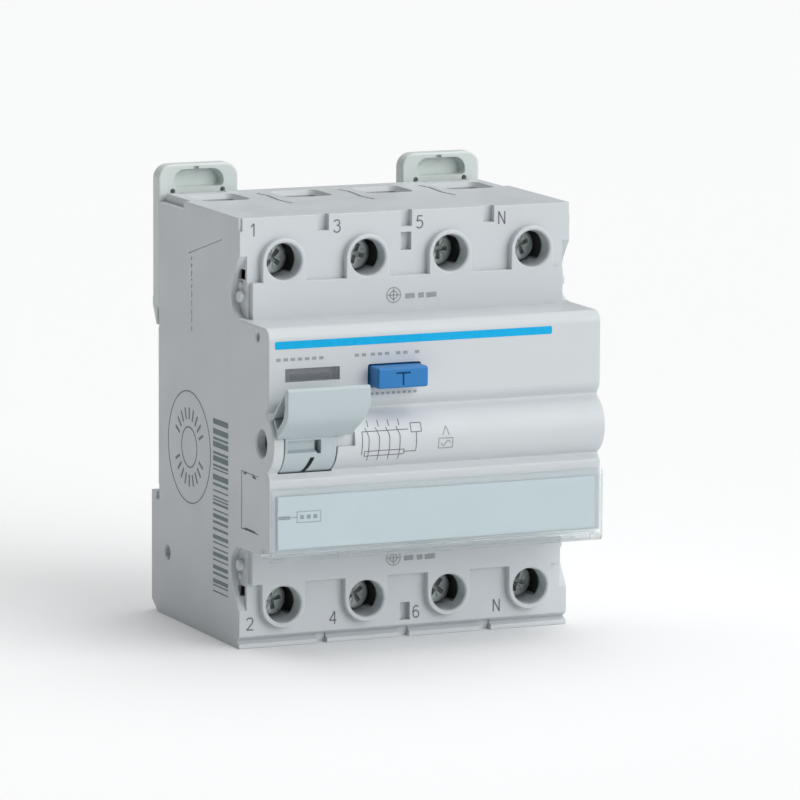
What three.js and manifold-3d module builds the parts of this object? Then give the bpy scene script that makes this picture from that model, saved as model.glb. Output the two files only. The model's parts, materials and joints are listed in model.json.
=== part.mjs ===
// Four-pole residual current device for a 35 mm rail, four modules wide.
// Millimetres, +Z up, the front faces -Y. The origin is the centre of the rail seat on the back.
import * as THREE from 'three';
import { mergeVertices } from 'three/addons/utils/BufferGeometryUtils.js';
import Module from 'manifold-3d';

const wasm = await Module();
wasm.setup();

// ---------------------------------------------------------------- driving dimensions
const MODULE = 17.8;                       // width of one module
const POLES = [-1.5, -0.5, 0.5, 1.5].map((n) => n * MODULE);
const HALF_WIDTH = 2 * MODULE;
const WALL = 2;
const GAP = 0.3;                           // clearance between neighbouring pieces

const TOP = 43.1;                          // body height, from the rail centre line
const BOTTOM = -42.4;
const FACE_Y = -43;                        // terminal faces
const BAND_Y = -44.6;                      // raised bands and screw collars
const SEAM_Y = -37.6;                      // where the front cover meets the rear housing
const COVER_BACK = SEAM_Y - GAP;
const NOSE_Y = -57.8;                      // front of the nose
const POCKET_Y = -58.2;                    // floor of the label pocket
const NOSE_TOP = 23.2;
const NOSE_BOTTOM = -22;
const BAND_TOP = 30.4;
const BAND_BOTTOM = -29.5;

const HOLE_RADIUS = 3.6;                   // screwdriver access holes
const COLLAR_RADIUS = 4.6;
const HEAD_Y = -38;                        // front of the terminal screw heads
const UPPER_Z = 34.35;                     // screw axes
const LOWER_Z = -33.8;

const RAIL_HALF = 17.7;                    // half the room for the 35 mm rail
const SEAT_HALF = 16;                      // half the seat's height
const SEAT_RELIEF = 0.3;                   // how far the back steps in beyond the seat
const JAW_Y = 3.8;                         // how far jaws and clips reach behind the seat
const SLOT_DEPTH = 1.3;                    // room for the rail's 1 mm flange
const SLOT_HEIGHT = 1.6;

const LEVER_Y = -54.2;                     // lever axis, also the axis of the bulge
const LEVER_Z = 0.4;
const BULGE_RADIUS = 6.2;
const CARRIER_Y = -24;                     // axis of the contact carrier
const CARRIER_Z = 5;
const TOROID_Y = -20.5;
const HINGE_Y = -55.3;                     // axis of the label cover
const HINGE_Z = -21.7;
const TRIP_Y = -44;                        // axis of the trip bar
const TRIP_Z = -5;
const TRIP_TRAVEL = 1.6;                   // how far the relay's plunger pushes the trip bar forward
const FLAG_Y = -44.8;                      // axis of the indicator flag
const FLAG_Z = 13.1;
const FLAG_RADIUS = 10.1;
const RELAY_X = 24.5;
const RELAY_Z = -11;

// ---------------------------------------------------------------- solids from three.js shapes
function solid(geometry) {
  geometry.deleteAttribute('normal');
  geometry.deleteAttribute('uv');
  const merged = mergeVertices(geometry, 1e-4);
  return new wasm.Manifold(new wasm.Mesh({
    numProp: 3,
    vertProperties: new Float32Array(merged.attributes.position.array),
    triVerts: new Uint32Array(merged.index.array),
  }));
}

const join = (first, ...others) => others.reduce((whole, piece) => whole.add(piece), first);
const cut = (first, ...others) => others.reduce((whole, piece) => whole.subtract(piece), first);

function box([x0, x1], [y0, y1], [z0, z1]) {
  const geometry = new THREE.BoxGeometry(x1 - x0, y1 - y0, z1 - z0);
  return solid(geometry.translate((x0 + x1) / 2, (y0 + y1) / 2, (z0 + z1) / 2));
}

const vectors = (points) => points.map(([u, v]) => new THREE.Vector2(u, v));

function outline(points, holes = []) {
  const shape = points instanceof THREE.Shape ? points : new THREE.Shape(vectors(points));
  shape.holes.push(...holes);
  return shape;
}

function circle(u, v, radius) {
  return new THREE.Path().absarc(u, v, radius, 0, 2 * Math.PI, true);
}

function extrude(shape, depth, curveSegments = 8) {
  return new THREE.ExtrudeGeometry(shape, { depth, bevelEnabled: false, curveSegments });
}

// a (Y, Z) outline along X, an (X, Z) outline along Y, and an (X, Y) outline along Z
function alongX(points, [x0, x1], holes, segments) {
  const turn = new THREE.Matrix4().set(0, 0, 1, x0, 1, 0, 0, 0, 0, 1, 0, 0, 0, 0, 0, 1);
  return solid(extrude(outline(points, holes), x1 - x0, segments).applyMatrix4(turn));
}

function alongY(points, [y0, y1], holes, segments) {
  const turn = new THREE.Matrix4().set(1, 0, 0, 0, 0, 0, -1, y1, 0, 1, 0, 0, 0, 0, 0, 1);
  return solid(extrude(outline(points, holes), y1 - y0, segments).applyMatrix4(turn));
}

function alongZ(points, [z0, z1], holes, segments) {
  return solid(extrude(outline(points, holes), z1 - z0, segments).translate(0, 0, z0));
}

function rodX(radius, [x0, x1], y, z, sides = 24) {
  const geometry = new THREE.CylinderGeometry(radius, radius, x1 - x0, sides).rotateZ(-Math.PI / 2);
  return solid(geometry.translate((x0 + x1) / 2, y, z));
}

function rodY(radius, [y0, y1], x, z, sides = 24) {
  return solid(new THREE.CylinderGeometry(radius, radius, y1 - y0, sides).translate(x, (y0 + y1) / 2, z));
}

// a ring around a vertical axis, of rectangular section, through part of a turn or all of it
function ring([r0, r1], [z0, z1], [x, y], segments = 32, start = 0, length = 2 * Math.PI) {
  const section = vectors([[r0, z0], [r1, z0], [r1, z1], [r0, z1], [r0, z0]]);
  if (length >= 2 * Math.PI) {
    const lathe = new THREE.LatheGeometry(section, segments).rotateX(Math.PI / 2);
    return solid(lathe.translate(x, y, 0));
  }
  const sector = new THREE.Shape();
  sector.absarc(x, y, r1, start, start + length, false);
  sector.absarc(x, y, r0, start + length, start, true);
  return alongZ(sector, [z0, z1], [], segments);
}

// a round wire along a curve
function wire(curve, radius, steps, sides = 8) {
  const section = new THREE.Shape().absarc(0, 0, radius, 0, 2 * Math.PI, false);
  const settings = { steps, extrudePath: curve, curveSegments: sides / 2, bevelEnabled: false };
  return solid(new THREE.ExtrudeGeometry(section, settings));
}

function helix(axis, start, length, radius, turns) {
  const curve = new THREE.Curve();
  curve.getPoint = (t, target = new THREE.Vector3()) => {
    const angle = 2 * Math.PI * turns * t;
    const [u, v] = [radius * Math.cos(angle), radius * Math.sin(angle)];
    const along = length * t;
    const offset = axis === 'x' ? [along, u, v] : [u, along, v];
    return target.set(start[0] + offset[0], start[1] + offset[1], start[2] + offset[2]);
  };
  return curve;
}

const grow = ([low, high], by) => [low - by, high + by];

// ---------------------------------------------------------------- materials
function finish(color, roughness, metalness) {
  return new THREE.MeshStandardMaterial({ color, roughness, metalness });
}

const MATERIALS = {
  housing: finish(0xcfd2d6, 0.5, 0),
  clip: finish(0xcdd4d2, 0.5, 0),
  lever: finish(0xb2bfc4, 0.45, 0),
  button: finish(0x2383be, 0.4, 0),
  window: finish(0x9aa2a8, 0.15, 0),
  cover: finish(0xbfd6dc, 0.1, 0),
  card: finish(0xdde3e2, 0.7, 0),
  flag: finish(0x585c64, 0.6, 0),
  insulator: finish(0x3b3d40, 0.6, 0),
  board: finish(0x2f6b45, 0.6, 0),
  winding: finish(0xb06a35, 0.4, 0.6),
  ferrite: finish(0x35373a, 0.7, 0.1),
  steel: finish(0x9aa09c, 0.35, 0.9),
  copper: finish(0xb9714a, 0.35, 0.9),
  silver: finish(0xc9c9c4, 0.3, 0.95),
};

// ---------------------------------------------------------------- rear housing
const CASE_SCREW_Z = [26.9, -26.6];
const BACK_WALL = -4;                      // inside face of the back wall
const CHAMBER_HALF = 7;                    // half a terminal chamber's width
const UPPER_CHAMBER = [24.7, TOP - WALL];
const LOWER_CHAMBER = [BOTTOM + WALL, -24.4];
const WIRE_ENTRY = { half: 4.7, y: [-15.4, -5.6] };
const CLIP = { x: 1.5 * MODULE, half: 8.6, top: 48.7, neck: 3.2, foot: 4.7, neckY: -1.3, footY: -2 };

function screwPlaces() {
  return [-MODULE, MODULE].flatMap((x) => CASE_SCREW_Z.map((z) => [x, z]));
}

function housingOutline() {
  const slotEnd = -RAIL_HALF - SLOT_HEIGHT;
  return [
    [SEAM_Y, TOP], [-SEAT_RELIEF, TOP], [-SEAT_RELIEF, SEAT_HALF], [0, SEAT_HALF], [0, -SEAT_HALF],
    [-SEAT_RELIEF, -SEAT_HALF], [-SEAT_RELIEF, slotEnd], [SLOT_DEPTH, slotEnd], [SLOT_DEPTH, -RAIL_HALF],
    [JAW_Y, -RAIL_HALF], [JAW_Y, BOTTOM + 2.2], [0.5, BOTTOM], [SEAM_Y, BOTTOM],
  ];
}

// the T-shaped track that a rail clip slides in, and the notch beside it in the top edge
function clipTrack(side) {
  const x = side * CLIP.x;
  const corner = [side * (HALF_WIDTH - 1.5), side * (HALF_WIDTH + 1)].sort((a, b) => a - b);
  const [neck, foot] = [CLIP.neck + GAP + 0.1, CLIP.foot + GAP + 0.1];
  return [
    box(corner, [-14, 1], [TOP - 1.7, TOP + 1]),
    box([x - neck, x + neck], [-1, 1], [RAIL_HALF, TOP + 1]),
    box([x - foot, x + foot], [CLIP.footY - GAP, -1], [RAIL_HALF, TOP + 1]),
  ];
}

// both terminal chambers of a pole, their wire entries and the slots that the conductors pass
function poleSpaces(x) {
  const chamber = [x - CHAMBER_HALF, x + CHAMBER_HALF];
  const entry = [x - WIRE_ENTRY.half, x + WIRE_ENTRY.half];
  const slot = [x - 3, x + 3];
  return [
    box(chamber, [SEAM_Y - 1, BACK_WALL], UPPER_CHAMBER),
    box(chamber, [SEAM_Y - 1, BACK_WALL], LOWER_CHAMBER),
    box(entry, WIRE_ENTRY.y, [TOP - WALL - 1, TOP + 1]),
    box(entry, WIRE_ENTRY.y, [BOTTOM - 1, BOTTOM + WALL + 1]),
    box(slot, [-18.2, -15.6], [22, 25.2]),
    box(slot, [-18.2, -13.2], [-25.2, -22]),
  ];
}

function rearHousing() {
  const inner = [-HALF_WIDTH + WALL, HALF_WIDTH - WALL];
  const betweenJaws = MODULE - 1;
  return cut(
    alongX(housingOutline(), [-HALF_WIDTH, HALF_WIDTH]),
    box(inner, [SEAM_Y - 1, BACK_WALL], [NOSE_BOTTOM - 0.4, NOSE_TOP - 0.5]),
    box([-betweenJaws, betweenJaws], [0, JAW_Y + 1], [BOTTOM - 1, -SEAT_HALF]),
    ...clipTrack(-1),
    ...clipTrack(1),
    ...POLES.flatMap(poleSpaces),
    ...screwPlaces().map(([x, z]) => rodY(1.4, [SEAM_Y - 1, 1], x, z, 16)),
    ...screwPlaces().map(([x, z]) => rodY(2.8, [-1.8, 1], x, z, 16)),
  );
}

// ---------------------------------------------------------------- front cover
// the nose's front, from the shoulder over the bulge to the label pocket
function noseOutline() {
  const shape = new THREE.Shape();
  const corner = 2.6;
  const arcEnd = 1.1;                      // half angle of the bulge, in radians
  const arcStart = Math.PI - arcEnd + 0.12;
  const arcStop = Math.PI + arcEnd - 0.12;
  const grooveY = LEVER_Y - BULGE_RADIUS * Math.cos(arcEnd);
  shape.moveTo(COVER_BACK, NOSE_TOP);
  shape.lineTo(NOSE_Y + corner, NOSE_TOP);
  shape.absarc(NOSE_Y + corner, NOSE_TOP - corner, corner, Math.PI / 2, Math.PI, false);
  shape.lineTo(NOSE_Y, LEVER_Z + 8);
  shape.quadraticCurveTo(NOSE_Y + 0.2, LEVER_Z + 6.5, grooveY, LEVER_Z + 5.7);
  shape.absarc(LEVER_Y, LEVER_Z, BULGE_RADIUS, arcStart, arcStop, false);
  shape.lineTo(POCKET_Y + 1, LEVER_Z - 5.8);
  shape.quadraticCurveTo(POCKET_Y + 0.6, LEVER_Z - 6.6, POCKET_Y, LEVER_Z - 6.9);
  shape.lineTo(POCKET_Y, NOSE_BOTTOM + 1.5);
  shape.lineTo(HINGE_Y + 1.3, NOSE_BOTTOM + 1.5);
  shape.lineTo(HINGE_Y + 1.3, NOSE_BOTTOM);
  shape.lineTo(COVER_BACK, NOSE_BOTTOM);
  return shape;
}

// raised collar round a screw hole, running into the band beside it
function collar(x, holeZ, bandZ) {
  const legs = [holeZ, bandZ].sort((a, b) => a - b);
  return join(
    rodY(COLLAR_RADIUS, [BAND_Y, COVER_BACK], x, holeZ, 28),
    box([x - COLLAR_RADIUS, x + COLLAR_RADIUS], [BAND_Y, FACE_Y + 1], legs),
  );
}

// the pocket cut in each side wall beside the bands
function scallop(side, [z0, z1]) {
  const depth = 2.3;
  const middle = (z0 + z1) / 2;
  const points = [
    [FACE_Y - 3, z0], [FACE_Y + 1.6, z0], [FACE_Y + 4.1, middle - 2.5], [FACE_Y + 4.5, middle],
    [FACE_Y + 4.1, middle + 2.5], [FACE_Y + 0.4, z1], [FACE_Y - 3, z1],
  ];
  const across = [side * (HALF_WIDTH - depth), side * (HALF_WIDTH + 1)].sort((a, b) => a - b);
  return alongX(points, across);
}

// the lower terminal face, with the undercut above its bottom lip
function lowerFaceOutline() {
  return [
    [COVER_BACK, NOSE_BOTTOM], [FACE_Y, NOSE_BOTTOM], [FACE_Y, BOTTOM + 2.4], [FACE_Y + 1.5, BOTTOM + 1.3],
    [FACE_Y, BOTTOM + 0.9], [FACE_Y, BOTTOM], [COVER_BACK, BOTTOM],
  ];
}

function frontCover() {
  const across = [-HALF_WIDTH, HALF_WIDTH];
  const band = [-HALF_WIDTH + 2.2, HALF_WIDTH - 2.2];
  const inner = [-HALF_WIDTH + WALL, HALF_WIDTH - WALL];
  const pastBack = COVER_BACK + 1;
  const chambers = POLES.map((x) => [x - CHAMBER_HALF, x + CHAMBER_HALF]);
  const holes = POLES.flatMap((x) => [UPPER_Z, LOWER_Z].map((z) => [x, z]));
  const blank = join(
    alongX(noseOutline(), across, [], 10),
    box(across, [FACE_Y, COVER_BACK], [NOSE_TOP - 1, TOP]),
    alongX(lowerFaceOutline(), across),
    box(band, [BAND_Y, FACE_Y + 1], [NOSE_TOP - 1, BAND_TOP]),
    box(band, [BAND_Y, FACE_Y + 1], [BAND_BOTTOM, NOSE_BOTTOM + 1]),
  );
  const hollowed = cut(
    blank,
    ...chambers.map((x) => box(x, [FACE_Y + WALL, pastBack], UPPER_CHAMBER)),
    ...chambers.map((x) => box(x, [FACE_Y + WALL, pastBack], LOWER_CHAMBER)),
  );
  const collared = join(
    hollowed,
    ...POLES.map((x) => collar(x, UPPER_Z, BAND_TOP - 1)),
    ...POLES.map((x) => collar(x, LOWER_Z, BAND_BOTTOM + 1)),
  );
  const opened = cut(
    collared,
    ...holes.map(([x, z]) => rodY(HOLE_RADIUS, [BAND_Y - 1, pastBack], x, z, 28)),
    box(inner, [NOSE_Y + WALL, pastBack], [NOSE_BOTTOM + WALL, NOSE_TOP - WALL]),
    rodX(BULGE_RADIUS - WALL, inner, LEVER_Y, LEVER_Z),
    ...[[NOSE_TOP, 35.6], [-34.6, NOSE_BOTTOM]].flatMap((span) => [scallop(-1, span), scallop(1, span)]),
    ...poleNotches(),
    ...frontOpenings(),
  );
  return join(opened, ...screwBosses());
}

function screwBosses() {
  return screwPlaces().map(([x, z]) => rodY(1.4, [FACE_Y + 0.5, COVER_BACK], x, z, 16));
}

// notches in the outer edges of the faces where two modules meet, and the two slots in the middle
function poleNotches() {
  const half = 1.2;
  const [shallow, deep] = [[FACE_Y - 1, FACE_Y + 0.9], [FACE_Y - 1, FACE_Y + 1.4]];
  const boundaries = [-MODULE, 0, MODULE].map((x) => [x - half, x + half]);
  return [
    ...boundaries.map((x) => box(x, shallow, [TOP - 3.2, TOP + 1])),
    ...boundaries.map((x) => box(x, deep, [BOTTOM - 1, BOTTOM + 1.8])),
    box([-half, half], deep, [TOP - 7.9, TOP - 4.3]),
    box([-half, half], deep, [BOTTOM + 3.6, BOTTOM + 7.4]),
  ];
}

const BUTTON = { x: [-14.3, -3.6], z: [10.9, 15], front: -62.2 };
const WINDOW = { x: [-31.8, -20.8], z: [12.9, 15] };
const DRUM_X = [-33.1, -22.2];
const INSERT = { y: [-53, -43.8], z: [-18.2, -6.2] };

function frontOpenings() {
  const throughFront = [NOSE_Y - 1, NOSE_Y + WALL + 1];
  const throughSide = [-HALF_WIDTH - 1, -HALF_WIDTH + WALL + 0.5];
  return [
    box(grow(BUTTON.x, GAP), throughFront, grow(BUTTON.z, GAP)),
    box(WINDOW.x, throughFront, WINDOW.z),
    rodX(BULGE_RADIUS + 0.4, grow(DRUM_X, GAP), LEVER_Y, LEVER_Z, 40),
    rodX(2.7, throughSide, LEVER_Y, LEVER_Z),
    box(throughSide, INSERT.y, INSERT.z),
  ];
}

function sideInsert() {
  const [y0, y1] = grow(INSERT.y, -GAP);
  const [z0, z1] = grow(INSERT.z, -GAP);
  return box([-HALF_WIDTH + 0.1, -HALF_WIDTH + WALL - 0.4], [y0, y1], [z0, z1]);
}

// ---------------------------------------------------------------- rail clips
function clip(x) {
  const low = RAIL_HALF + GAP;
  const corner = 2.4;
  const [left, right] = [x - CLIP.half, x + CLIP.half];
  const plate = new THREE.Shape();
  plate.moveTo(left, low);
  plate.lineTo(right, low);
  plate.lineTo(right, CLIP.top - corner);
  plate.absarc(right - corner, CLIP.top - corner, corner, 0, Math.PI / 2, false);
  plate.lineTo(left + corner, CLIP.top);
  plate.absarc(left + corner, CLIP.top - corner, corner, Math.PI / 2, Math.PI, false);
  const toe = [[JAW_Y - 1.4, low - 1], [JAW_Y + 1, low - 1], [JAW_Y + 1, low + 2.4], [JAW_Y, low + 2.4]];
  const hook = [
    [SLOT_DEPTH, low + 1.7], [SLOT_DEPTH, RAIL_HALF - 1.4], [SLOT_DEPTH + 0.4, RAIL_HALF - 1.4],
    [JAW_Y, low + 2], [JAW_Y, low + 4],
  ];
  const eyeDepth = [-1, JAW_Y - 1.5];
  const body = cut(
    alongY(plate, [GAP, JAW_Y]),
    box([x - 5, x + 5], eyeDepth, [CLIP.top - 4.7, CLIP.top - 2.5]),
    box([x - 3.4, x + 3.4], eyeDepth, [CLIP.top - 2.7, CLIP.top - 1]),
    alongX(toe, [left - 1, right + 1]),
  );
  const track = [RAIL_HALF + 2.3, TOP - 3.1];
  return join(
    body,
    alongX(hook, [left, right]),
    box([x - CLIP.neck, x + CLIP.neck], [CLIP.neckY, GAP + 0.5], track),
    box([x - CLIP.foot, x + CLIP.foot], [CLIP.footY, CLIP.neckY], track),
  );
}

// ---------------------------------------------------------------- terminals
function terminalScrew(x, z) {
  const tip = -19.2;
  const recess = [HEAD_Y - 1, HEAD_Y + 1.3];
  const head = rodY(3.25, [HEAD_Y, HEAD_Y + 2.2], x, z);
  const shank = rodY(1.9, [HEAD_Y + 1, tip], x, z, 16);
  return cut(
    join(head, shank),
    box([x - 0.4, x + 0.4], recess, [z - 2.1, z + 2.1]),
    box([x - 2.1, x + 2.1], recess, [z - 0.4, z + 0.4]),
  );
}

function terminalCage(x, z) {
  return cut(
    box([x - 5.3, x + 5.3], [-26, -5], [z - 4.6, z + 4.6]),
    box([x - 4.1, x + 4.1], [-22.6, -6.3], [z - 5, z + 5]),
    rodY(2.2, [-27, -22], x, z, 16),
  );
}

const TONGUE = [-17.6, -16.2];             // front and back of the flat conductors
const CONTACT_Z = 17.2;

function lineTerminal(x) {
  const tongue = box([x - 2.6, x + 2.6], TONGUE, [15, 39]);
  return join(tongue, rodY(2.1, [TONGUE[0] - 1.1, TONGUE[0] + 0.2], x, CONTACT_Z, 16));
}

// a conductor that runs down from its contact, bends to the core, goes through it and spreads again
function loadConductor(x, index) {
  const outer = index === 0 || index === POLES.length - 1;
  const [holeX, holeY] = outer ? [Math.sign(x) * 5, -17.6] : [Math.sign(x) * 1.7, -14.9];
  const between = 0.6 * x + 0.4 * holeX;
  const points = [
    [x, -13.6, 5], [x, -13.8, 0], [between, (holeY - 14) / 2, -3.6],
    [holeX, holeY, -6.2], [holeX, holeY, -11], [holeX, holeY, -15.8],
    [between, holeY + 0.2, -18.6], [x, -14.9, -20.8], [x, -14.9, -23.4],
  ];
  const route = new THREE.CatmullRomCurve3(points.map((p) => new THREE.Vector3(...p)), false, 'centripetal');
  const lug = [
    [TONGUE[0], -38.6], [TONGUE[1], -38.6], [TONGUE[1], -24.6],
    [-13.6, -24.6], [-13.6, -22.9], [TONGUE[0], -22.9],
  ];
  return join(wire(route, 1.2, 26), alongX(lug, [x - 2.6, x + 2.6]));
}

// ---------------------------------------------------------------- contacts
const ARM = { x: 2, y: [-20.7, -19.5], top: 19 };

function contactCarrier() {
  const bar = rodX(4, [-31.5, 31.5], CARRIER_Y, CARRIER_Z);
  const axle = rodX(1.5, [-33.2, 33.2], CARRIER_Y, CARRIER_Z, 16);
  const ear = box([-23.4, -21.8], [CARRIER_Y - 2, CARRIER_Y + 2], [-4.2, CARRIER_Z]);
  const crank = join(ear, rodX(0.6, [-22.5, -20.2], CARRIER_Y, CARRIER_Z - 8, 12));
  const pockets = POLES.map((x) => box([x - ARM.x - GAP, x + ARM.x + GAP], [-24.3, -15], [2.7, 10]));
  return join(cut(join(bar, crank), ...pockets), axle);
}

function movingContact(x) {
  const points = [
    [-22, 3.2], [ARM.y[1], 3.2], [ARM.y[1], ARM.top], [ARM.y[0], ARM.top], [ARM.y[0], 8.5], [-22, 7],
  ];
  const pad = rodY(1.9, [ARM.y[1] - 0.3, ARM.y[1] + 0.5], x, CONTACT_Z, 16);
  return join(alongX(points, [x - ARM.x, x + ARM.x]), pad);
}

// ---------------------------------------------------------------- lever and its linkage
const CRANK = 3.5;                         // radius of the lever's crank pin

function toggleLever() {
  const bore = rodX(1.5, grow(DRUM_X, 1), LEVER_Y, LEVER_Z, 20);
  const drum = cut(rodX(BULGE_RADIUS, DRUM_X, LEVER_Y, LEVER_Z, 40), bore);
  const arm = [[-59, 0.6], [-61, 1.9], [-66.4, 6.4], [-66.4, 12.7], [-64.9, 12.7], [-64.6, 8.6], [-59, 4.2]];
  const plate = [[-61, 1.9], [-66.4, 6.4], [-66.4, 12.7], [-64.9, 12.7], [-64.9, 7.2], [-61.1, 4.0]];
  const recess = box([-32.4, -26.4], [-62, -59.2], [-2.4, -0.2]);
  const pin = rodX(0.6, [DRUM_X[1] - 1, -20], LEVER_Y, LEVER_Z - CRANK, 12);
  return cut(join(drum, alongX(arm, [-33.1, -23]), alongX(plate, [-35.1, -17.6]), pin), recess);
}

function leverPin() {
  return join(
    rodX(1.2, [-35, -16], LEVER_Y, LEVER_Z, 16),
    rodX(2.4, [-35.2, -33.8], LEVER_Y, LEVER_Z, 20),
  );
}

function leverSpring() {
  return wire(helix('x', [-19.8, LEVER_Y, LEVER_Z], 1.9, 2, 2.5), 0.3, 30, 6);
}

// the plate that carries the lever pin, the flag and the left end of the trip bar
function mechanismFrame() {
  const back = -38.5;
  const shape = new THREE.Shape();
  shape.moveTo(back, -9);
  shape.lineTo(back, FLAG_Z + 2.8);
  shape.lineTo(FLAG_Y - 1, FLAG_Z + 2.8);
  shape.lineTo(FLAG_Y - 3, FLAG_Z);
  shape.lineTo(LEVER_Y, LEVER_Z + 3.4);
  shape.absarc(LEVER_Y, LEVER_Z, 3.4, Math.PI / 2, Math.PI * 1.5, false);
  shape.lineTo(TRIP_Y - 4, TRIP_Z - 4);
  const slot = new THREE.Path();
  slot.absarc(TRIP_Y, TRIP_Z, 1.5, -Math.PI / 2, Math.PI / 2, false);
  slot.absarc(TRIP_Y - TRIP_TRAVEL, TRIP_Z, 1.5, Math.PI / 2, Math.PI * 1.5, false);
  const holes = [circle(LEVER_Y, LEVER_Z, 1.5), slot, circle(FLAG_Y, FLAG_Z, 1.1)];
  return alongX(shape, [-17.4, -16.4], holes);
}

function linkRod() {
  const [y0, z0] = [LEVER_Y, LEVER_Z - CRANK];
  const [y1, z1] = [CARRIER_Y, CARRIER_Z - 8];
  const thickness = [-21.4, -20.4];
  const bar = join(
    rodX(1.5, thickness, y0, z0, 16),
    box(thickness, [y0, y1], [z0 - 1.1, z0 + 1.1]),
    rodX(2.1, thickness, y1, z1, 16),
  );
  const openEnd = 1.5;                     // clearance hole where the closed linkage is opened
  return cut(bar, rodX(0.9, grow(thickness, 1), y0, z0, 12), rodX(openEnd, grow(thickness, 1), y1, z1, 16));
}

// a curved face on two arms, with a long axle that turns in the mechanism frame
function indicatorFlag() {
  const [above, below] = [Math.PI - 0.66, Math.PI + 0.38];
  const across = [-31.4, -21.2];
  const face = new THREE.Shape();
  face.absarc(FLAG_Y, FLAG_Z, FLAG_RADIUS, above, below, false);
  face.absarc(FLAG_Y, FLAG_Z, FLAG_RADIUS - 0.9, below, above, true);
  const arm = [
    [FLAG_Y, FLAG_Z - 1.2], [FLAG_Y, FLAG_Z + 1.2],
    [FLAG_Y - FLAG_RADIUS + 0.5, FLAG_Z + 0.8], [FLAG_Y - FLAG_RADIUS + 0.5, FLAG_Z - 0.8],
  ];
  return join(
    alongX(face, across, [], 12),
    alongX(arm, [across[0], across[0] + 1]),
    alongX(arm, [across[1] - 1, across[1]]),
    rodX(1.4, across, FLAG_Y, FLAG_Z, 16),
    rodX(0.8, [across[0] - 1.2, -16.2], FLAG_Y, FLAG_Z, 12),
  );
}

function indicatorWindow() {
  const [x, z] = [grow(WINDOW.x, -GAP), grow(WINDOW.z, -GAP)];
  const pane = box(x, [NOSE_Y + 0.15, NOSE_Y + WALL + GAP], z);
  return join(pane, box(grow(x, 0.8), [-55.5, -55.2], grow(z, 0.8)));
}

// ---------------------------------------------------------------- test circuit
const BUTTON_X = (BUTTON.x[0] + BUTTON.x[1]) / 2;
const BUTTON_Z = (BUTTON.z[0] + BUTTON.z[1]) / 2;

function testButton() {
  return join(
    box(BUTTON.x, [BUTTON.front, -54.6], BUTTON.z),
    box(grow(BUTTON.x, 1.1), [-55.4, -54.4], grow(BUTTON.z, 1.1)),
    rodY(1.1, [-55, -49.6], BUTTON_X, BUTTON_Z, 16),
  );
}

function testSpring() {
  return wire(helix('y', [BUTTON_X, -53.8, BUTTON_Z], 3.9, 1.9, 3.5), 0.3, 42, 6);
}

function springSeat() {
  const plate = box([BUTTON_X - 4, BUTTON_X + 4], [-49.3, -48.5], [BUTTON_Z - 6, BUTTON_Z + 8]);
  return cut(plate, rodY(1.5, [-50, -48], BUTTON_X, BUTTON_Z, 16));
}

function testContact() {
  const points = [[-46.2, 6], [-45.8, 6], [-45.8, 17], [-42, 20.6], [-42.3, 20.9], [-46.2, 17.2]];
  return alongX(points, [BUTTON_X - 2, BUTTON_X + 2]);
}

function testResistor() {
  const lead = rodX(0.4, [-14, 2], -43.5, 14.5, 8);
  return join(rodX(1.7, [-10, -2], -43.5, 14.5, 16), lead);
}

function circuitBoard() {
  const holes = [7, 28].map((x) => rodY(1.2, [-52, -49], x, 16, 12));
  return cut(box([4, 31], [-51, -49.6], [-3, 19]), ...holes);
}

function capacitor() {
  return join(rodY(3.4, [-49.3, -41], 12, 6), rodY(3.5, [-49.3, -48.7], 12, 6));
}

// ---------------------------------------------------------------- residual current sensing
const CORE = { r: [8.4, 13], z: [-15, -7], centre: [0, TOROID_Y] };

function toroidCore() {
  return ring(CORE.r, CORE.z, CORE.centre, 40);
}

function secondaryWinding() {
  const thickness = 0.9;
  const [start, length] = [Math.PI * 1.15, Math.PI * 0.7];
  const outer = ring(grow(CORE.r, thickness), grow(CORE.z, thickness), CORE.centre, 14, start, length);
  return cut(outer, ring(grow(CORE.r, GAP), grow(CORE.z, GAP), CORE.centre, 40));
}

function tripRelay() {
  const body = box([RELAY_X - 6.5, RELAY_X + 6.5], [-36, -24], [RELAY_Z - 6, RELAY_Z + 5]);
  const nozzle = rodY(2.4, [-37, -35], RELAY_X, RELAY_Z, 20);
  return cut(join(body, nozzle), rodY(1.3, [-38, -31], RELAY_X, RELAY_Z, 16));
}

function relayPlunger() {
  return rodY(1, [-42, -31.6], RELAY_X, RELAY_Z, 16);
}

function tripBar() {
  return join(
    rodX(1.2, [-19.5, 29], TRIP_Y, TRIP_Z, 16),
    box([RELAY_X - 2, RELAY_X + 2], [-43.5, -42.4], [RELAY_Z - 1.6, TRIP_Z]),
    box([-19.4, -18.2], [TRIP_Y - 1, TRIP_Y + 1], [TRIP_Z, 2.2]),
  );
}

// ---------------------------------------------------------------- label cover and card
function labelCover() {
  const front = POCKET_Y - 1.5;
  const skin = 0.8;
  const shoulder = -9.3;
  const across = [-HALF_WIDTH + 0.1, HALF_WIDTH - 0.1];
  const section = [
    [front + 0.9, shoulder + 1.3], [front + 0.3, shoulder + 1.1], [front, shoulder], [front, NOSE_BOTTOM],
    [HINGE_Y, NOSE_BOTTOM - 0.5], [HINGE_Y, NOSE_BOTTOM + 0.6], [front + skin, NOSE_BOTTOM + 0.9],
    [front + skin, shoulder - 0.2],
  ];
  const cheek = [
    [front, shoulder], [front, NOSE_BOTTOM], [POCKET_Y - GAP, NOSE_BOTTOM + 0.2], [POCKET_Y - GAP, shoulder],
  ];
  return join(
    alongX(section, across),
    rodX(0.7, across, HINGE_Y, HINGE_Z, 12),
    alongX(cheek, [across[0], across[0] + 1]),
    alongX(cheek, [across[1] - 1, across[1]]),
  );
}

function labelCard() {
  return box([-34, 34], [POCKET_Y - 0.6, POCKET_Y - GAP], [-20, -9.6]);
}

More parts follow.
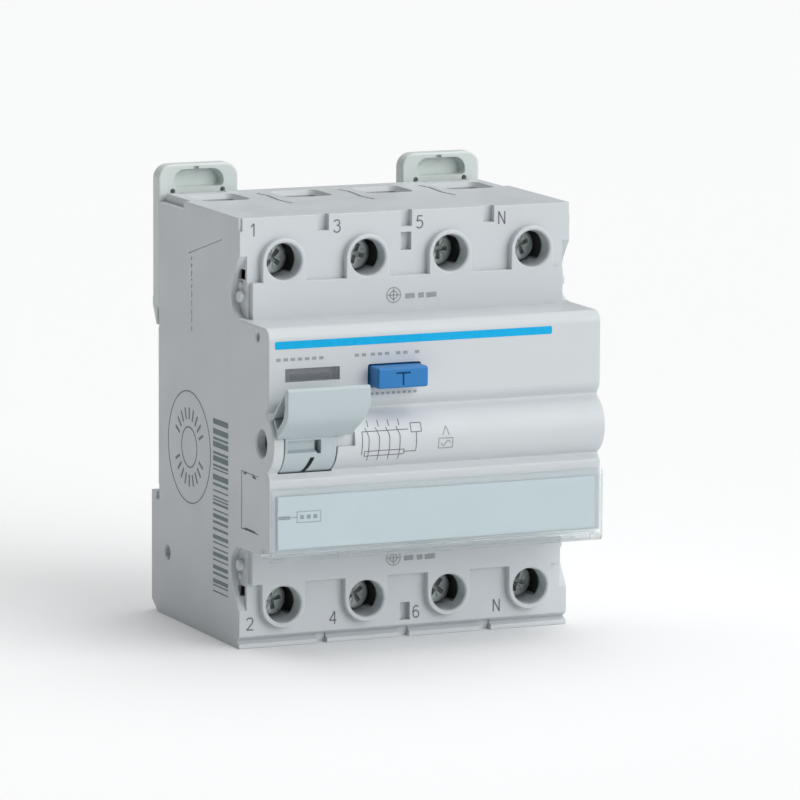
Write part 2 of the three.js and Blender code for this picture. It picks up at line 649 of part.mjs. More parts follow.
// ---------------------------------------------------------------- case screws
function caseScrew(x, z) {
  return join(rodY(2.5, [-1.5, -0.3], x, z, 16), rodY(1.1, [SEAM_Y + GAP, -1], x, z, 12));
}

// ---------------------------------------------------------------- the assembly
const device = new THREE.Group();
device.name = 'residual_current_device';

function place(name, shape, material) {
  const { vertProperties, triVerts } = shape.getMesh();
  const geometry = new THREE.BufferGeometry();
  geometry.setAttribute('position', new THREE.BufferAttribute(vertProperties, 3));
  geometry.setIndex(new THREE.BufferAttribute(triVerts, 1));
  geometry.computeVertexNormals();
  const mesh = new THREE.Mesh(geometry, material);
  mesh.name = name;
  device.add(mesh);
}

place('rear_housing', rearHousing(), MATERIALS.housing);
place('front_cover', frontCover(), MATERIALS.housing);
place('side_insert', sideInsert(), MATERIALS.housing);
place('rail_clip_left', clip(-1.5 * MODULE), MATERIALS.clip);
place('rail_clip_right', clip(1.5 * MODULE), MATERIALS.clip);
screwPlaces().forEach(([x, z], i) => place(`case_screw_${i + 1}`, caseScrew(x, z), MATERIALS.steel));

POLES.forEach((x, i) => {
  const pole = i + 1;
  place(`line_screw_${pole}`, terminalScrew(x, UPPER_Z), MATERIALS.steel);
  place(`load_screw_${pole}`, terminalScrew(x, LOWER_Z), MATERIALS.steel);
  place(`line_cage_${pole}`, terminalCage(x, UPPER_Z), MATERIALS.steel);
  place(`load_cage_${pole}`, terminalCage(x, LOWER_Z), MATERIALS.steel);
  place(`line_terminal_${pole}`, lineTerminal(x), MATERIALS.copper);
  place(`load_conductor_${pole}`, loadConductor(x, i), MATERIALS.copper);
  place(`moving_contact_${pole}`, movingContact(x), MATERIALS.silver);
});

place('contact_carrier', contactCarrier(), MATERIALS.insulator);
place('toggle_lever', toggleLever(), MATERIALS.lever);
place('lever_pin', leverPin(), MATERIALS.steel);
place('lever_spring', leverSpring(), MATERIALS.steel);
place('mechanism_frame', mechanismFrame(), MATERIALS.steel);
place('link_rod', linkRod(), MATERIALS.steel);
place('indicator_flag', indicatorFlag(), MATERIALS.flag);
place('indicator_window', indicatorWindow(), MATERIALS.window);
place('test_button', testButton(), MATERIALS.button);
place('test_spring', testSpring(), MATERIALS.steel);
place('spring_seat', springSeat(), MATERIALS.insulator);
place('test_contact', testContact(), MATERIALS.copper);
place('test_resistor', testResistor(), MATERIALS.insulator);
place('circuit_board', circuitBoard(), MATERIALS.board);
place('capacitor', capacitor(), MATERIALS.insulator);
place('toroid_core', toroidCore(), MATERIALS.ferrite);
place('secondary_winding', secondaryWinding(), MATERIALS.winding);
place('trip_relay', tripRelay(), MATERIALS.insulator);
place('relay_plunger', relayPlunger(), MATERIALS.steel);
place('trip_bar', tripBar(), MATERIALS.insulator);
place('label_cover', labelCover(), MATERIALS.cover);
place('label_card', labelCard(), MATERIALS.card);

export default device;
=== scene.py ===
import json
import math
import random

import bmesh
import bpy
from mathutils import Matrix, Vector


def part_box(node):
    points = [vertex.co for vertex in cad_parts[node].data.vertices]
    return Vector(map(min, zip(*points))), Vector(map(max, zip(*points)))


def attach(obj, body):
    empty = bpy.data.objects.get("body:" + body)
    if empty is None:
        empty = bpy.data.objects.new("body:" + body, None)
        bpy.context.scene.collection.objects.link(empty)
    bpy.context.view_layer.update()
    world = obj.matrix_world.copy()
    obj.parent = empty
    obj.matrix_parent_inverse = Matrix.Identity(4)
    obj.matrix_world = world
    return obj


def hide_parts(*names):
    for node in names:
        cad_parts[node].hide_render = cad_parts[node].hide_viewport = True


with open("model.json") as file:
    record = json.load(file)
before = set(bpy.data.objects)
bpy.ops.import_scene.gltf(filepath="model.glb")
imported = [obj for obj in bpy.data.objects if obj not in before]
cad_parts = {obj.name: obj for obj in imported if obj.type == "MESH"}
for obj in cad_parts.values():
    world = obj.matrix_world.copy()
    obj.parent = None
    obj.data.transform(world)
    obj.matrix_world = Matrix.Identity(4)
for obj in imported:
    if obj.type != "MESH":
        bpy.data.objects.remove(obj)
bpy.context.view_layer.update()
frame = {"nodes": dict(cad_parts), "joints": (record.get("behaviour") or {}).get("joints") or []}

MM = 0.001


# ------------------------------------------------------------------ sizes, in millimetres, from the frame
def span(node):
    """Lowest and highest X, Y and Z of a CAD node, in millimetres."""
    low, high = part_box(node)
    return [(low[i] / MM, high[i] / MM) for i in range(3)]


def middle(node):
    return [(low + high) / 2 for low, high in span(node)]


def joint_place(name):
    place = next(j for j in frame["joints"] if j["name"] == name)["pos_m"]
    return [value / MM for value in place]


HOUSING = span("rear_housing")
COVER = span("front_cover")
HALF_WIDTH = HOUSING[0][1] - 0.05         # leaves room for the print on the side wall
TOP = HOUSING[2][1]
BOTTOM = HOUSING[2][0]
SEAM = HOUSING[1][0]                      # front edge of the rear housing
COVER_BACK = SEAM + 1.5                   # the shells are made long here and trimmed at the seam
MODULE = HOUSING[0][1] / 2
POLES = [middle(f"line_screw_{n}")[0] for n in (1, 2, 3, 4)]
UPPER_Z = middle("line_screw_1")[2]
LOWER_Z = middle("load_screw_1")[2]
HEAD_Y = span("line_screw_1")[1][0]
HEAD_RADIUS = (span("line_screw_1")[0][1] - span("line_screw_1")[0][0]) / 2
_, LEVER_Y, LEVER_Z = joint_place("lever_turn")
_, HINGE_Y, HINGE_Z = joint_place("cover_turn")
BULGE_RADIUS = LEVER_Y - COVER[1][0]

FACE_Y = SEAM - 5.4                       # terminal faces
BAND_Y = FACE_Y - 1.6                     # raised bands and collars
NOSE_Y = LEVER_Y - 3.6
NOSE_TOP = LEVER_Z + 22.8
NOSE_BOTTOM = LEVER_Z - 22.4
BAND_TOP = NOSE_TOP + 7.2
BAND_BOTTOM = NOSE_BOTTOM - 7.5
HOLE_RADIUS = HEAD_RADIUS + 0.35
WALL = 2.0
LABEL_Y = NOSE_Y - 0.4                    # floor of the label pocket


# ------------------------------------------------------------------ outlines
def arc(u, v, radius, start, end, steps=12):
    angles = [start + (end - start) * i / steps for i in range(steps + 1)]
    return [(u + radius * math.cos(a), v + radius * math.sin(a)) for a in angles]


def circle(u, v, radius, steps=48):
    return arc(u, v, radius, 0, 2 * math.pi, steps)[:-1]


def rectangle(u, v):
    return [(u[0], v[0]), (u[1], v[0]), (u[1], v[1]), (u[0], v[1])]


def closed(points):
    return points + points[:1]


def rounded(u, v, radius, steps=6):
    """A rectangle with round corners, from its two spans."""
    quarter = math.pi / 2
    corners = [(u[1], v[1], 0), (u[0], v[1], 1), (u[0], v[0], 2), (u[1], v[0], 3)]
    points = []
    for x, y, turn in corners:
        inset_x = x - radius if x == u[1] else x + radius
        inset_y = y - radius if y == v[1] else y + radius
        points += arc(inset_x, inset_y, radius, turn * quarter, (turn + 1) * quarter, steps)
    return points


# ------------------------------------------------------------------ mesh kit
PLANES = {"x": (1, 2, 0), "y": (0, 2, 1), "z": (0, 1, 2)}


def new_object(name, bm):
    bmesh.ops.recalc_face_normals(bm, faces=bm.faces)
    mesh = bpy.data.meshes.new(name)
    bm.to_mesh(mesh)
    bm.free()
    obj = bpy.data.objects.new(name, mesh)
    bpy.context.scene.collection.objects.link(obj)
    return obj


def place(axis, u, v, depth):
    i, j, k = PLANES[axis]
    point = [0.0, 0.0, 0.0]
    point[i], point[j], point[k] = u * MM, v * MM, depth * MM
    return point


def loft(axis, sections, name="part"):
    """A closed solid through outlines of the same length, each given as (outline, depth)."""
    bm = bmesh.new()
    rings = [[bm.verts.new(place(axis, u, v, depth)) for u, v in points] for points, depth in sections]
    for near, far in zip(rings, rings[1:]):
        for i in range(len(near)):
            j = (i + 1) % len(near)
            bm.faces.new((near[i], near[j], far[j], far[i]))
    bm.faces.new(rings[0])
    bm.faces.new(rings[-1])
    return new_object(name, bm)


def prism(axis, points, low, high, name="part"):
    return loft(axis, [(points, low), (points, high)], name)


def block(x, y, z, name="part"):
    return prism("z", rectangle(x, y), z[0], z[1], name)


def rod(axis, u, v, radius, low, high, steps=48, name="part"):
    return prism(axis, circle(u, v, radius, steps), low, high, name)


def turned(axis, u, v, profile, steps=48, name="part"):
    """A turned solid: the profile is a list of (radius, depth) along the axis."""
    return loft(axis, [(circle(u, v, radius, steps), depth) for radius, depth in profile], name)


def settle(obj):
    """Applies the object's modifiers."""
    graph = bpy.context.evaluated_depsgraph_get()
    mesh = bpy.data.meshes.new_from_object(obj.evaluated_get(graph))
    old = obj.data
    obj.modifiers.clear()
    obj.data = mesh
    bpy.data.meshes.remove(old)
    return obj


def soften(obj, width, segments=3, angle=35):
    bevel = obj.modifiers.new("edges", "BEVEL")
    bevel.width = width * MM
    bevel.segments = segments
    bevel.limit_method = "ANGLE"
    bevel.angle_limit = math.radians(angle)
    return settle(obj)


def combine(obj, others, operation):
    group = bpy.data.collections.new("operands")
    for other in others:
        group.objects.link(other)
    boolean = obj.modifiers.new("boolean", "BOOLEAN")
    boolean.operation = operation
    boolean.operand_type = "COLLECTION"
    boolean.collection = group
    boolean.solver = "EXACT"
    settle(obj)
    for other in others:
        bpy.data.objects.remove(other)
    bpy.data.collections.remove(group)
    return obj


def join(obj, *others):
    return combine(obj, others, "UNION")


def cut(obj, *others):
    return combine(obj, others, "DIFFERENCE")


def smooth(obj, angle=32):
    """Smooth shading that keeps edges sharper than the angle, and flat faces flat."""
    bm = bmesh.new()
    bm.from_mesh(obj.data)
    limit = math.radians(angle)
    for face in bm.faces:
        face.smooth = True
    for edge in bm.edges:
        edge.smooth = edge.calc_face_angle(math.pi) < limit
    bm.to_mesh(obj.data)
    bm.free()
    weighted = obj.modifiers.new("normals", "WEIGHTED_NORMAL")
    weighted.keep_sharp = True
    return settle(obj)


def finish(obj, name, body, material, replaces=()):
    obj.name = name
    obj.data.name = name
    obj.data.materials.clear()
    obj.data.materials.append(material)
    smooth(obj)
    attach(obj, body)
    if replaces:
        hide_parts(*replaces)
    return obj


# ------------------------------------------------------------------ materials
def srgb(red, green, blue):
    def linear(value):
        value /= 255
        return value / 12.92 if value <= 0.04045 else ((value + 0.055) / 1.055) ** 2.4
    return (linear(red), linear(green), linear(blue), 1.0)


class Nodes:
    """A material's node tree, with short ways to add what the materials share."""

    def __init__(self, name):
        self.material = bpy.data.materials.new(name)
        self.material.use_nodes = True
        self.tree = self.material.node_tree
        self.shader = self.tree.nodes["Principled BSDF"]
        self.place = self.add("ShaderNodeTexCoord").outputs["Object"]

    def add(self, kind, **values):
        node = self.tree.nodes.new(kind)
        for key, value in values.items():
            setattr(node, key, value)
        return node

    def link(self, source, target):
        self.tree.links.new(source, target)

    def noise(self, scale, detail=4.0, roughness=0.55, stretch=(1, 1, 1)):
        mapping = self.add("ShaderNodeMapping")
        mapping.inputs["Scale"].default_value = stretch
        self.link(self.place, mapping.inputs["Vector"])
        node = self.add("ShaderNodeTexNoise")
        node.inputs["Scale"].default_value = scale
        node.inputs["Detail"].default_value = detail
        node.inputs["Roughness"].default_value = roughness
        self.link(mapping.outputs["Vector"], node.inputs["Vector"])
        return node.outputs["Fac"]

    def mix(self, factor, first, second):
        node = self.add("ShaderNodeMix", data_type="RGBA")
        self.link(factor, node.inputs["Factor"])
        node.inputs["A"].default_value = first
        node.inputs["B"].default_value = second
        return node.outputs["Result"]

    def ramp(self, factor, low, high):
        node = self.add("ShaderNodeMapRange")
        self.link(factor, node.inputs["Value"])
        node.inputs["From Min"].default_value = 0.3
        node.inputs["From Max"].default_value = 0.7
        node.inputs["To Min"].default_value = low
        node.inputs["To Max"].default_value = high
        return node.outputs["Result"]

    def bump(self, heights):
        """Bump from a list of (factor, depth in metres), one on the other."""
        normal = None
        for factor, depth in heights:
            node = self.add("ShaderNodeBump")
            node.inputs["Distance"].default_value = depth
            node.inputs["Strength"].default_value = 1.0
            self.link(factor, node.inputs["Height"])
            if normal:
                self.link(normal, node.inputs["Normal"])
            normal = node.outputs["Normal"]
        self.link(normal, self.shader.inputs["Normal"])


def shade(colour, factor):
    return tuple(channel * factor for channel in colour[:3]) + (1.0,)


def plastic(name, colour, roughness=0.45, spread=0.05, grain=2600, depth=0.000012, coat=0.0):
    """Moulded thermoplastic: spark-eroded grain, faint flow mottling and uneven gloss."""
    nodes = Nodes(name)
    flow = nodes.noise(38, 3, 0.6)
    mottled = nodes.mix(flow, shade(colour, 1 - spread), shade(colour, 1 + spread * 0.6))
    nodes.link(mottled, nodes.shader.inputs["Base Color"])
    gloss = nodes.ramp(nodes.noise(120, 5), roughness - 0.06, roughness + 0.08)
    nodes.link(gloss, nodes.shader.inputs["Roughness"])
    nodes.bump([(nodes.noise(grain, 2, 0.5), depth), (flow, depth * 2)])
    nodes.shader.inputs["Coat Weight"].default_value = coat
    nodes.shader.inputs["IOR"].default_value = 1.5
    return nodes.material


def metal(name, colour, roughness=0.35, stretch=(1, 1, 1), grain=900, depth=0.00001, metallic=1.0):
    """Plated or rolled metal with fine scratches and a cloudy plating."""
    nodes = Nodes(name)
    cloud = nodes.noise(160, 6, 0.65)
    nodes.link(nodes.mix(cloud, shade(colour, 0.72), shade(colour, 1.12)), nodes.shader.inputs["Base Color"])
    nodes.link(nodes.ramp(cloud, roughness - 0.08, roughness + 0.16), nodes.shader.inputs["Roughness"])
    nodes.bump([(nodes.noise(grain, 5, 0.7, stretch), depth)])
    nodes.shader.inputs["Metallic"].default_value = metallic
    return nodes.material


def clear(name, colour, roughness=0.06, weight=0.9, solidity=0.5):
    """Clear polycarbonate with the slight waviness of a moulding."""
    nodes = Nodes(name)
    wave = nodes.noise(60, 2, 0.4)
    nodes.link(nodes.mix(wave, shade(colour, 0.97), colour), nodes.shader.inputs["Base Color"])
    nodes.link(nodes.ramp(nodes.noise(400, 4), roughness, roughness + 0.08), nodes.shader.inputs["Roughness"])
    nodes.bump([(wave, 0.00003)])
    nodes.shader.inputs["Transmission Weight"].default_value = weight
    nodes.shader.inputs["Alpha"].default_value = solidity
    nodes.shader.inputs["IOR"].default_value = 1.45
    return nodes.material


def print_ink(name, colour):
    """Pad-printed ink, slightly uneven in cover; the same finish also carries the painted shade in the test
    button's engraved T.
    """
    nodes = Nodes(name)
    cover = nodes.mix(nodes.noise(900, 4), shade(colour, 0.8), shade(colour, 1.15))
    nodes.link(cover, nodes.shader.inputs["Base Color"])
    nodes.link(nodes.ramp(nodes.noise(300), 0.5, 0.65), nodes.shader.inputs["Roughness"])
    nodes.shader.inputs["Specular IOR Level"].default_value = 0.2
    nodes.bump([(nodes.noise(2600), 0.000008)])
    return nodes.material


def winding_wire(name):
    """Close turns of enamelled wire; the darker copper between the rings is painted shade in the grooves between
    turns.
    """
    nodes = Nodes(name)
    wave = nodes.add("ShaderNodeTexWave", wave_type="RINGS", rings_direction="Z")
    wave.inputs["Scale"].default_value = 600
    nodes.link(nodes.place, wave.inputs["Vector"])
    copper = srgb(176, 106, 53)
    # half-dark copper between the rings: painted shade in the grooves between turns
    nodes.link(nodes.mix(wave.outputs["Fac"], shade(copper, 0.5), copper), nodes.shader.inputs["Base Color"])
    nodes.bump([(wave.outputs["Fac"], 0.0002)])
    nodes.shader.inputs["Metallic"].default_value = 0.7
    nodes.shader.inputs["Roughness"].default_value = 0.35
    return nodes.material


M = {
    "housing": plastic("case plastic", srgb(197, 202, 205), 0.42, 0.03),
    "clip": plastic("clip nylon", srgb(208, 217, 214), 0.45, 0.05),
    "lever": plastic("lever plastic", srgb(176, 188, 192), 0.36, 0.03, depth=0.000008),
    "button": plastic("button plastic", srgb(0, 112, 178), 0.42, 0.06, depth=0.000008, coat=0.05),
    "insulator": plastic("dark plastic", srgb(60, 62, 66), 0.5, 0.12),
    "board": plastic("laminate", srgb(46, 108, 72), 0.4, 0.1),
    "ferrite": plastic("core coating", srgb(52, 54, 60), 0.6, 0.2),
    "card": plastic("label card", srgb(212, 222, 226), 0.6, 0.02, grain=5000),
    "flag": plastic("flag", srgb(62, 65, 73), 0.5, 0.08),
    "pale": plastic("pale plastic", srgb(150, 152, 158), 0.45, 0.04),
    "steel": metal("plated steel", srgb(150, 156, 150)),
    "screw": metal("screw steel", srgb(196, 203, 202), 0.3, (1, 1, 1), 1600, 0.00002, 0.65),
    "copper": metal("bare copper", srgb(196, 118, 78), 0.3, (1, 1, 12)),
    "silver": metal("silver plate", srgb(206, 206, 200), 0.25, (8, 1, 1)),
    "cover": clear("cover plastic", srgb(238, 247, 249)),
    "window": clear("window plastic", srgb(225, 230, 235), 0.04, 0.85, 0.8),
    "ink": print_ink("grey ink", srgb(112, 114, 122)),
    "faint": print_ink("faint ink", srgb(150, 158, 160)),
    "dark": print_ink("black ink", srgb(30, 34, 38)),
    "blue": print_ink("blue ink", srgb(0, 168, 222)),
    # deep blue: painted shade on the floor of the test button's engraved T
    "deep": print_ink("painted T shade blue", srgb(4, 66, 118)),
    "side": print_ink("side ink", srgb(120, 134, 136)),
    "winding": winding_wire("winding"),
}


# ------------------------------------------------------------------ front cover
def groove_edges():
    """Where the bulge's arc meets the grooves above and below it, in radians from its axis."""
    return math.pi - 1.14, math.pi + 1.0


def nose_outline():
    start, end = groove_edges()
    corner = 2.3
    upper = [(COVER_BACK, NOSE_TOP)]
    upper += arc(NOSE_Y + corner, NOSE_TOP - corner, corner, math.pi / 2, math.pi, 12)
    into_groove = [(NOSE_Y, LEVER_Z + 8.8), (NOSE_Y + 0.12, LEVER_Z + 8.1), (NOSE_Y + 0.45, LEVER_Z + 7.4),
                   (NOSE_Y + 0.95, LEVER_Z + 6.8), (NOSE_Y + 1.35, LEVER_Z + 6.2)]
    bulge = arc(LEVER_Y, LEVER_Z, BULGE_RADIUS, start + 0.06, end - 0.06, 32)
    below = [(NOSE_Y + 0.75, LEVER_Z - 5.5), (NOSE_Y + 0.3, LEVER_Z - 6.2), (LABEL_Y, LEVER_Z - 6.9)]
    foot = [(LABEL_Y, NOSE_BOTTOM + 1.5), (HINGE_Y + 1.3, NOSE_BOTTOM + 1.5), (HINGE_Y + 1.3, NOSE_BOTTOM),
            (COVER_BACK, NOSE_BOTTOM)]
    return upper + into_groove + bulge + below + foot


def terminal_block(low, high, lipped):
    """The flat terminal face above or below the nose; the lower one ends in an undercut lip."""
    points = [(COVER_BACK, low), (COVER_BACK, high), (FACE_Y, high), (FACE_Y, low)]
    if lipped:
        points = [(COVER_BACK, low), (COVER_BACK, high), (FACE_Y, high), (FACE_Y, low + 2.4),
                  (FACE_Y + 1.5, low + 1.5), (FACE_Y + 0.1, low + 0.9), (FACE_Y, low)]
    return soften(prism("x", points, -HALF_WIDTH, HALF_WIDTH), 0.22, 2)


def band(low, high):
    return soften(block((-33.4, 33.4), (BAND_Y, FACE_Y + 1.2), (low, high)), 0.2, 2)


def collar(x, hole_z, band_z):
    """Arch-shaped collar round a screw hole, running into the band."""
    radius = 4.6
    up = 1 if hole_z > band_z else -1
    start = 0 if up > 0 else math.pi
    points = arc(x, hole_z, radius, start, start + math.pi, 28)
    points += [(x - up * radius, band_z), (x + up * radius, band_z)]
    return soften(prism("y", points, BAND_Y, FACE_Y + 1.2), 0.25, 3)


def driver_hole(x, z):
    """A screwdriver hole with a rounded rim."""
    rim = [(0.55, BAND_Y - 0.4), (0.38, BAND_Y), (0.12, BAND_Y + 0.22), (0, BAND_Y + 0.6), (0, COVER_BACK + 2)]
    return turned("y", x, z, [(HOLE_RADIUS + wider_by, depth) for wider_by, depth in rim])


def side_pocket(side, near, far):
    """The pocket in a side wall beside a band: steep next to the nose, long and shallow towards the screw."""
    curve = [(1.6, 0.0), (3.3, 0.10), (4.1, 0.22), (4.3, 0.36),
             (3.9, 0.52), (2.6, 0.72), (1.2, 0.88), (0.2, 1.0)]
    points = [(FACE_Y - 3, near)] + [(FACE_Y + deep, near + t * (far - near)) for deep, t in curve]
    inner, outer = side * (HALF_WIDTH - 1.6), side * (HALF_WIDTH + 1)
    return prism("x", points + [(FACE_Y - 3, far)], *sorted((inner, outer)))


POCKETS = ((NOSE_TOP + 0.1, UPPER_Z + 1.2), (NOSE_BOTTOM - 0.1, LOWER_Z - 0.9))


def pole_notches():
    """Ventilation notches in the face's outer edges, on the module boundaries and at the corners."""
    cutters = []
    for n in (-1, 0, 1):
        x = n * MODULE
        cutters.append(block((x - 1.2, x + 1.2), (FACE_Y - 1, FACE_Y + 1.5), (TOP - 3.2, TOP + 1)))
        low, high = BOTTOM - 1, BOTTOM + 1.9
        slant = [(x - 1.4, low), (x + 0.9, low), (x + 1.3, high), (x - 1.0, high)]
        cutters.append(prism("y", slant, FACE_Y - 1, FACE_Y + 1.6))
    for side in (-1, 1):
        x = side * HALF_WIDTH
        cutters.append(block((x - 0.6, x + 0.6), (FACE_Y - 1, FACE_Y + 0.5), (TOP - 2.6, TOP + 1)))
    cutters.append(block((-1.25, 1.05), (FACE_Y - 1, FACE_Y + 1.5), (TOP - 7.9, TOP - 4.3)))
    cutters.append(block((-1.05, 1.15), (FACE_Y - 1, FACE_Y + 1.5), (BOTTOM + 3.4, BOTTOM + 7)))
    return cutters


WINDOW = span("indicator_window")
WINDOW_X = (WINDOW[0][0] + 0.5, WINDOW[0][1] - 0.5)
WINDOW_Z = (WINDOW[2][0] + 0.5, WINDOW[2][1] - 0.5)
BUTTON_PLACE = middle("test_button")
BUTTON_X = (BUTTON_PLACE[0] - 5.35, BUTTON_PLACE[0] + 5.35)
BUTTON_Z = (BUTTON_PLACE[2] - 2.05, BUTTON_PLACE[2] + 2.05)
BUTTON_FRONT = span("test_button")[1][0]
LEVER = span("toggle_lever")
INSERT = span("side_insert")
DRUM_X = (LEVER[0][0] + 2.0, LEVER[0][0] + 12.9)
PLATE_DROP = 6.4                          # from the lever plate's top to where it curves back


def wider(limits, by):
    return (limits[0] - by, limits[1] + by)


def front_openings():
    wall = (-HALF_WIDTH - 1, -HALF_WIDTH + WALL + 0.5)
    pin_hole = [(3.2, wall[0]), (3.05, -HALF_WIDTH), (2.75, -HALF_WIDTH + 0.3), (2.7, wall[1])]
    small_hole = [(1.25, wall[0]), (1.15, -HALF_WIDTH), (0.9, -HALF_WIDTH + 0.3), (0.85, wall[1])]
    guide = rounded((DRUM_X[1] + 0.2, DRUM_X[1] + 3.9), (LEVER_Z - 0.6, LEVER_Z + 2.2), 0.15)
    return [
        prism("y", rounded(wider(BUTTON_X, 0.28), wider(BUTTON_Z, 0.28), 0.5), NOSE_Y - 1, NOSE_Y + 3),
        prism("y", rounded(wider(WINDOW_X, 0.25), wider(WINDOW_Z, 0.25), 0.15), NOSE_Y - 1, NOSE_Y + 3),
        rod("x", LEVER_Y, LEVER_Z, BULGE_RADIUS + 0.32, DRUM_X[0] - 0.25, DRUM_X[1] + 0.25, 72),
        turned("x", LEVER_Y, LEVER_Z, pin_hole),
        turned("x", NOSE_Y + 5.6, NOSE_TOP - 2.2, small_hole, 24),
        block(wall, wider(INSERT[1], 0.12), wider(INSERT[2], 0.12)),
        prism("y", guide, NOSE_Y - 4.2, LEVER_Y - BULGE_RADIUS + 0.9),
    ]


def front_cover():
    shell = soften(prism("x", nose_outline(), -HALF_WIDTH, HALF_WIDTH), 0.32, 3, 40)
    join(shell, terminal_block(NOSE_TOP - 1, TOP, False), terminal_block(BOTTOM, NOSE_BOTTOM + 1, True),
         band(NOSE_TOP - 1, BAND_TOP), band(BAND_BOTTOM, NOSE_BOTTOM + 1))
    join(shell, *[collar(x, UPPER_Z, BAND_TOP - 0.6) for x in POLES],
         *[collar(x, LOWER_Z, BAND_BOTTOM + 0.6) for x in POLES])
    inside = (-HALF_WIDTH + WALL, HALF_WIDTH - WALL)
    hollow = [block((-40, 40), (SEAM - 0.03, SEAM + 5), (BOTTOM - 1, TOP + 1)),
              block(inside, (NOSE_Y + WALL, COVER_BACK + 1), (NOSE_BOTTOM + 2, NOSE_TOP - WALL)),
              rod("x", LEVER_Y, LEVER_Z, BULGE_RADIUS - WALL, *inside)]
    for x in POLES:
        for low, high in ((NOSE_TOP + 1.5, TOP - WALL), (BOTTOM + WALL, NOSE_BOTTOM - 2.4)):
            hollow.append(block((x - 7, x + 7), (FACE_Y + WALL, COVER_BACK + 1), (low, high)))
    cut(shell, *hollow)
    holes = [(x, z) for x in POLES for z in (UPPER_Z, LOWER_Z)]
    join(shell, *[rod("y", x, z, HOLE_RADIUS + 0.95, BAND_Y + 1, COVER_BACK, 40) for x, z in holes])
    cut(shell, *[block((x - 5, x + 5), (FACE_Y + WALL, COVER_BACK + 1), (z - 2.7, z + 2.7)) for x, z in holes])
    cut(shell, *[driver_hole(x, z) for x, z in holes],
        *[side_pocket(side, near, far) for side in (-1, 1) for near, far in POCKETS],
        *pole_notches(), *front_openings())
    join(shell, *pocket_bosses())
    cut(shell, *pocket_holes())
    return finish(shell, "front_cover_shell", "case", M["housing"], ["front_cover"])


def pocket_bosses():
    """The two round bosses in each side pocket."""
    bosses = []
    for side in (-1, 1):
        floor = side * (HALF_WIDTH - 1.8)
        rim = side * (HALF_WIDTH - 0.5)
        for z, step in ((BAND_TOP - 3.0, 1), (BAND_BOTTOM + 3.6, -1)):
            large_boss = rod("x", FACE_Y + 2.1, z, 1.15, *sorted((floor, rim)), 28)
            small = side * (HALF_WIDTH - 1.1)
            small_boss = rod("x", FACE_Y + 2.7, z + 2.3 * step, 0.7, *sorted((floor, small)), 20)
            bosses += [soften(large_boss, 0.3, 3), soften(small_boss, 0.2, 2)]
    return bosses


def pocket_holes():
    holes = []
    for side in (-1, 1):
        across = sorted((side * (HALF_WIDTH - 4.5), side * (HALF_WIDTH - 1)))
        for z in (BAND_TOP + 1.4, BAND_BOTTOM - 1.6):
            holes.append(block(across, (FACE_Y + 0.9, FACE_Y + 3.5), (z - 1.0, z + 1.0)))
    return holes


# ------------------------------------------------------------------ rear housing
JAW_Y = HOUSING[1][1]
RAIL_HALF = 17.7
SEAT_HALF = 16.0


def housing_outline():
    relief, slot_depth, slot_end = 0.3, 1.3, -RAIL_HALF - 1.6
    front = SEAM - 1.5
    return [(front, TOP), (-relief - 0.6, TOP), (-relief, TOP - 0.6), (-relief, SEAT_HALF), (0, SEAT_HALF),
            (0, -SEAT_HALF), (-relief, -SEAT_HALF), (-relief, slot_end), (slot_depth, slot_end),
            (slot_depth, -RAIL_HALF), (JAW_Y, -RAIL_HALF), (JAW_Y, BOTTOM + 2.2), (0.5, BOTTOM),
            (front, BOTTOM)]


def rear_housing():
    shell = soften(prism("x", housing_outline(), -HALF_WIDTH, HALF_WIDTH), 0.2, 3)
    inside = (-HALF_WIDTH + WALL, HALF_WIDTH - WALL)
    cutters = [block((-40, 40), (SEAM - 5, SEAM), (BOTTOM - 1, TOP + 1)),
               block(inside, (SEAM - 1, -4), (NOSE_BOTTOM - 0.4, NOSE_TOP - 0.5)),
               block((-16.8, 16.8), (0, JAW_Y + 1), (BOTTOM - 1, -SEAT_HALF))]
    low = TOP - 1.7
    step = [(-14.6, TOP + 1), (-14.2, TOP), (-13.4, low), (-0.9, low), (1, low), (1, TOP + 1)]
    for side in (-1, 1):
        x = side * 1.5 * MODULE
        notch = sorted((side * (HALF_WIDTH - 1.5), side * (HALF_WIDTH + 1)))
        cutters.append(prism("x", step, *notch))
        cutters.append(block((x - 3.6, x + 3.6), (-1.2, 1), (RAIL_HALF, TOP + 1)))
        cutters.append(block((x - 5.1, x + 5.1), (-2.3, -1), (RAIL_HALF, TOP + 1)))
    for x in POLES:
        for low, high in ((NOSE_TOP + 1.5, TOP - WALL), (BOTTOM + WALL, NOSE_BOTTOM - 2.4)):
            cutters.append(block((x - 7, x + 7), (SEAM - 1, -4), (low, high)))
        cutters += [wire_entry(x, TOP, 1), wire_entry(x, BOTTOM, -1)]
        cutters.append(block((x - 3, x + 3), (-18.2, -15.6), (22, 25.2)))
        cutters.append(block((x - 3, x + 3), (-18.2, -13.2), (-25.2, -22)))
    screw_seat = [(1.4, SEAM - 1), (1.4, -1.8), (2.8, -1.8), (2.8, -0.25), (3.1, 0.2)]
    for x in (-MODULE, MODULE):
        for z in (middle("case_screw_2")[2], middle("case_screw_1")[2]):
            cutters.append(turned("y", x, z, screw_seat, 32))
    cut(shell, *cutters)
    cut(shell, *side_marks())
    cut(shell, *top_grooves())
    cut(shell, *back_lines())
    return finish(shell, "rear_housing_shell", "case", M["housing"], ["rear_housing"])


def wire_entry(x, level, up):
    """A funnel into a terminal, wider at the surface."""
    half, front, back = 4.4, -15.2, -5.8
    sections = [(1.5, 1.4), (0.7, 0.0), (0.0, -1.0), (0.0, -4.0)]
    outlines = []
    for grow, depth in sections:
        across, along = wider((x - half, x + half), grow), wider((front, back), grow)
        outlines.append((rounded(across, along, 1.2 + grow), level + up * depth))
    if up < 0:
        outlines.reverse()
    return loft("z", outlines)


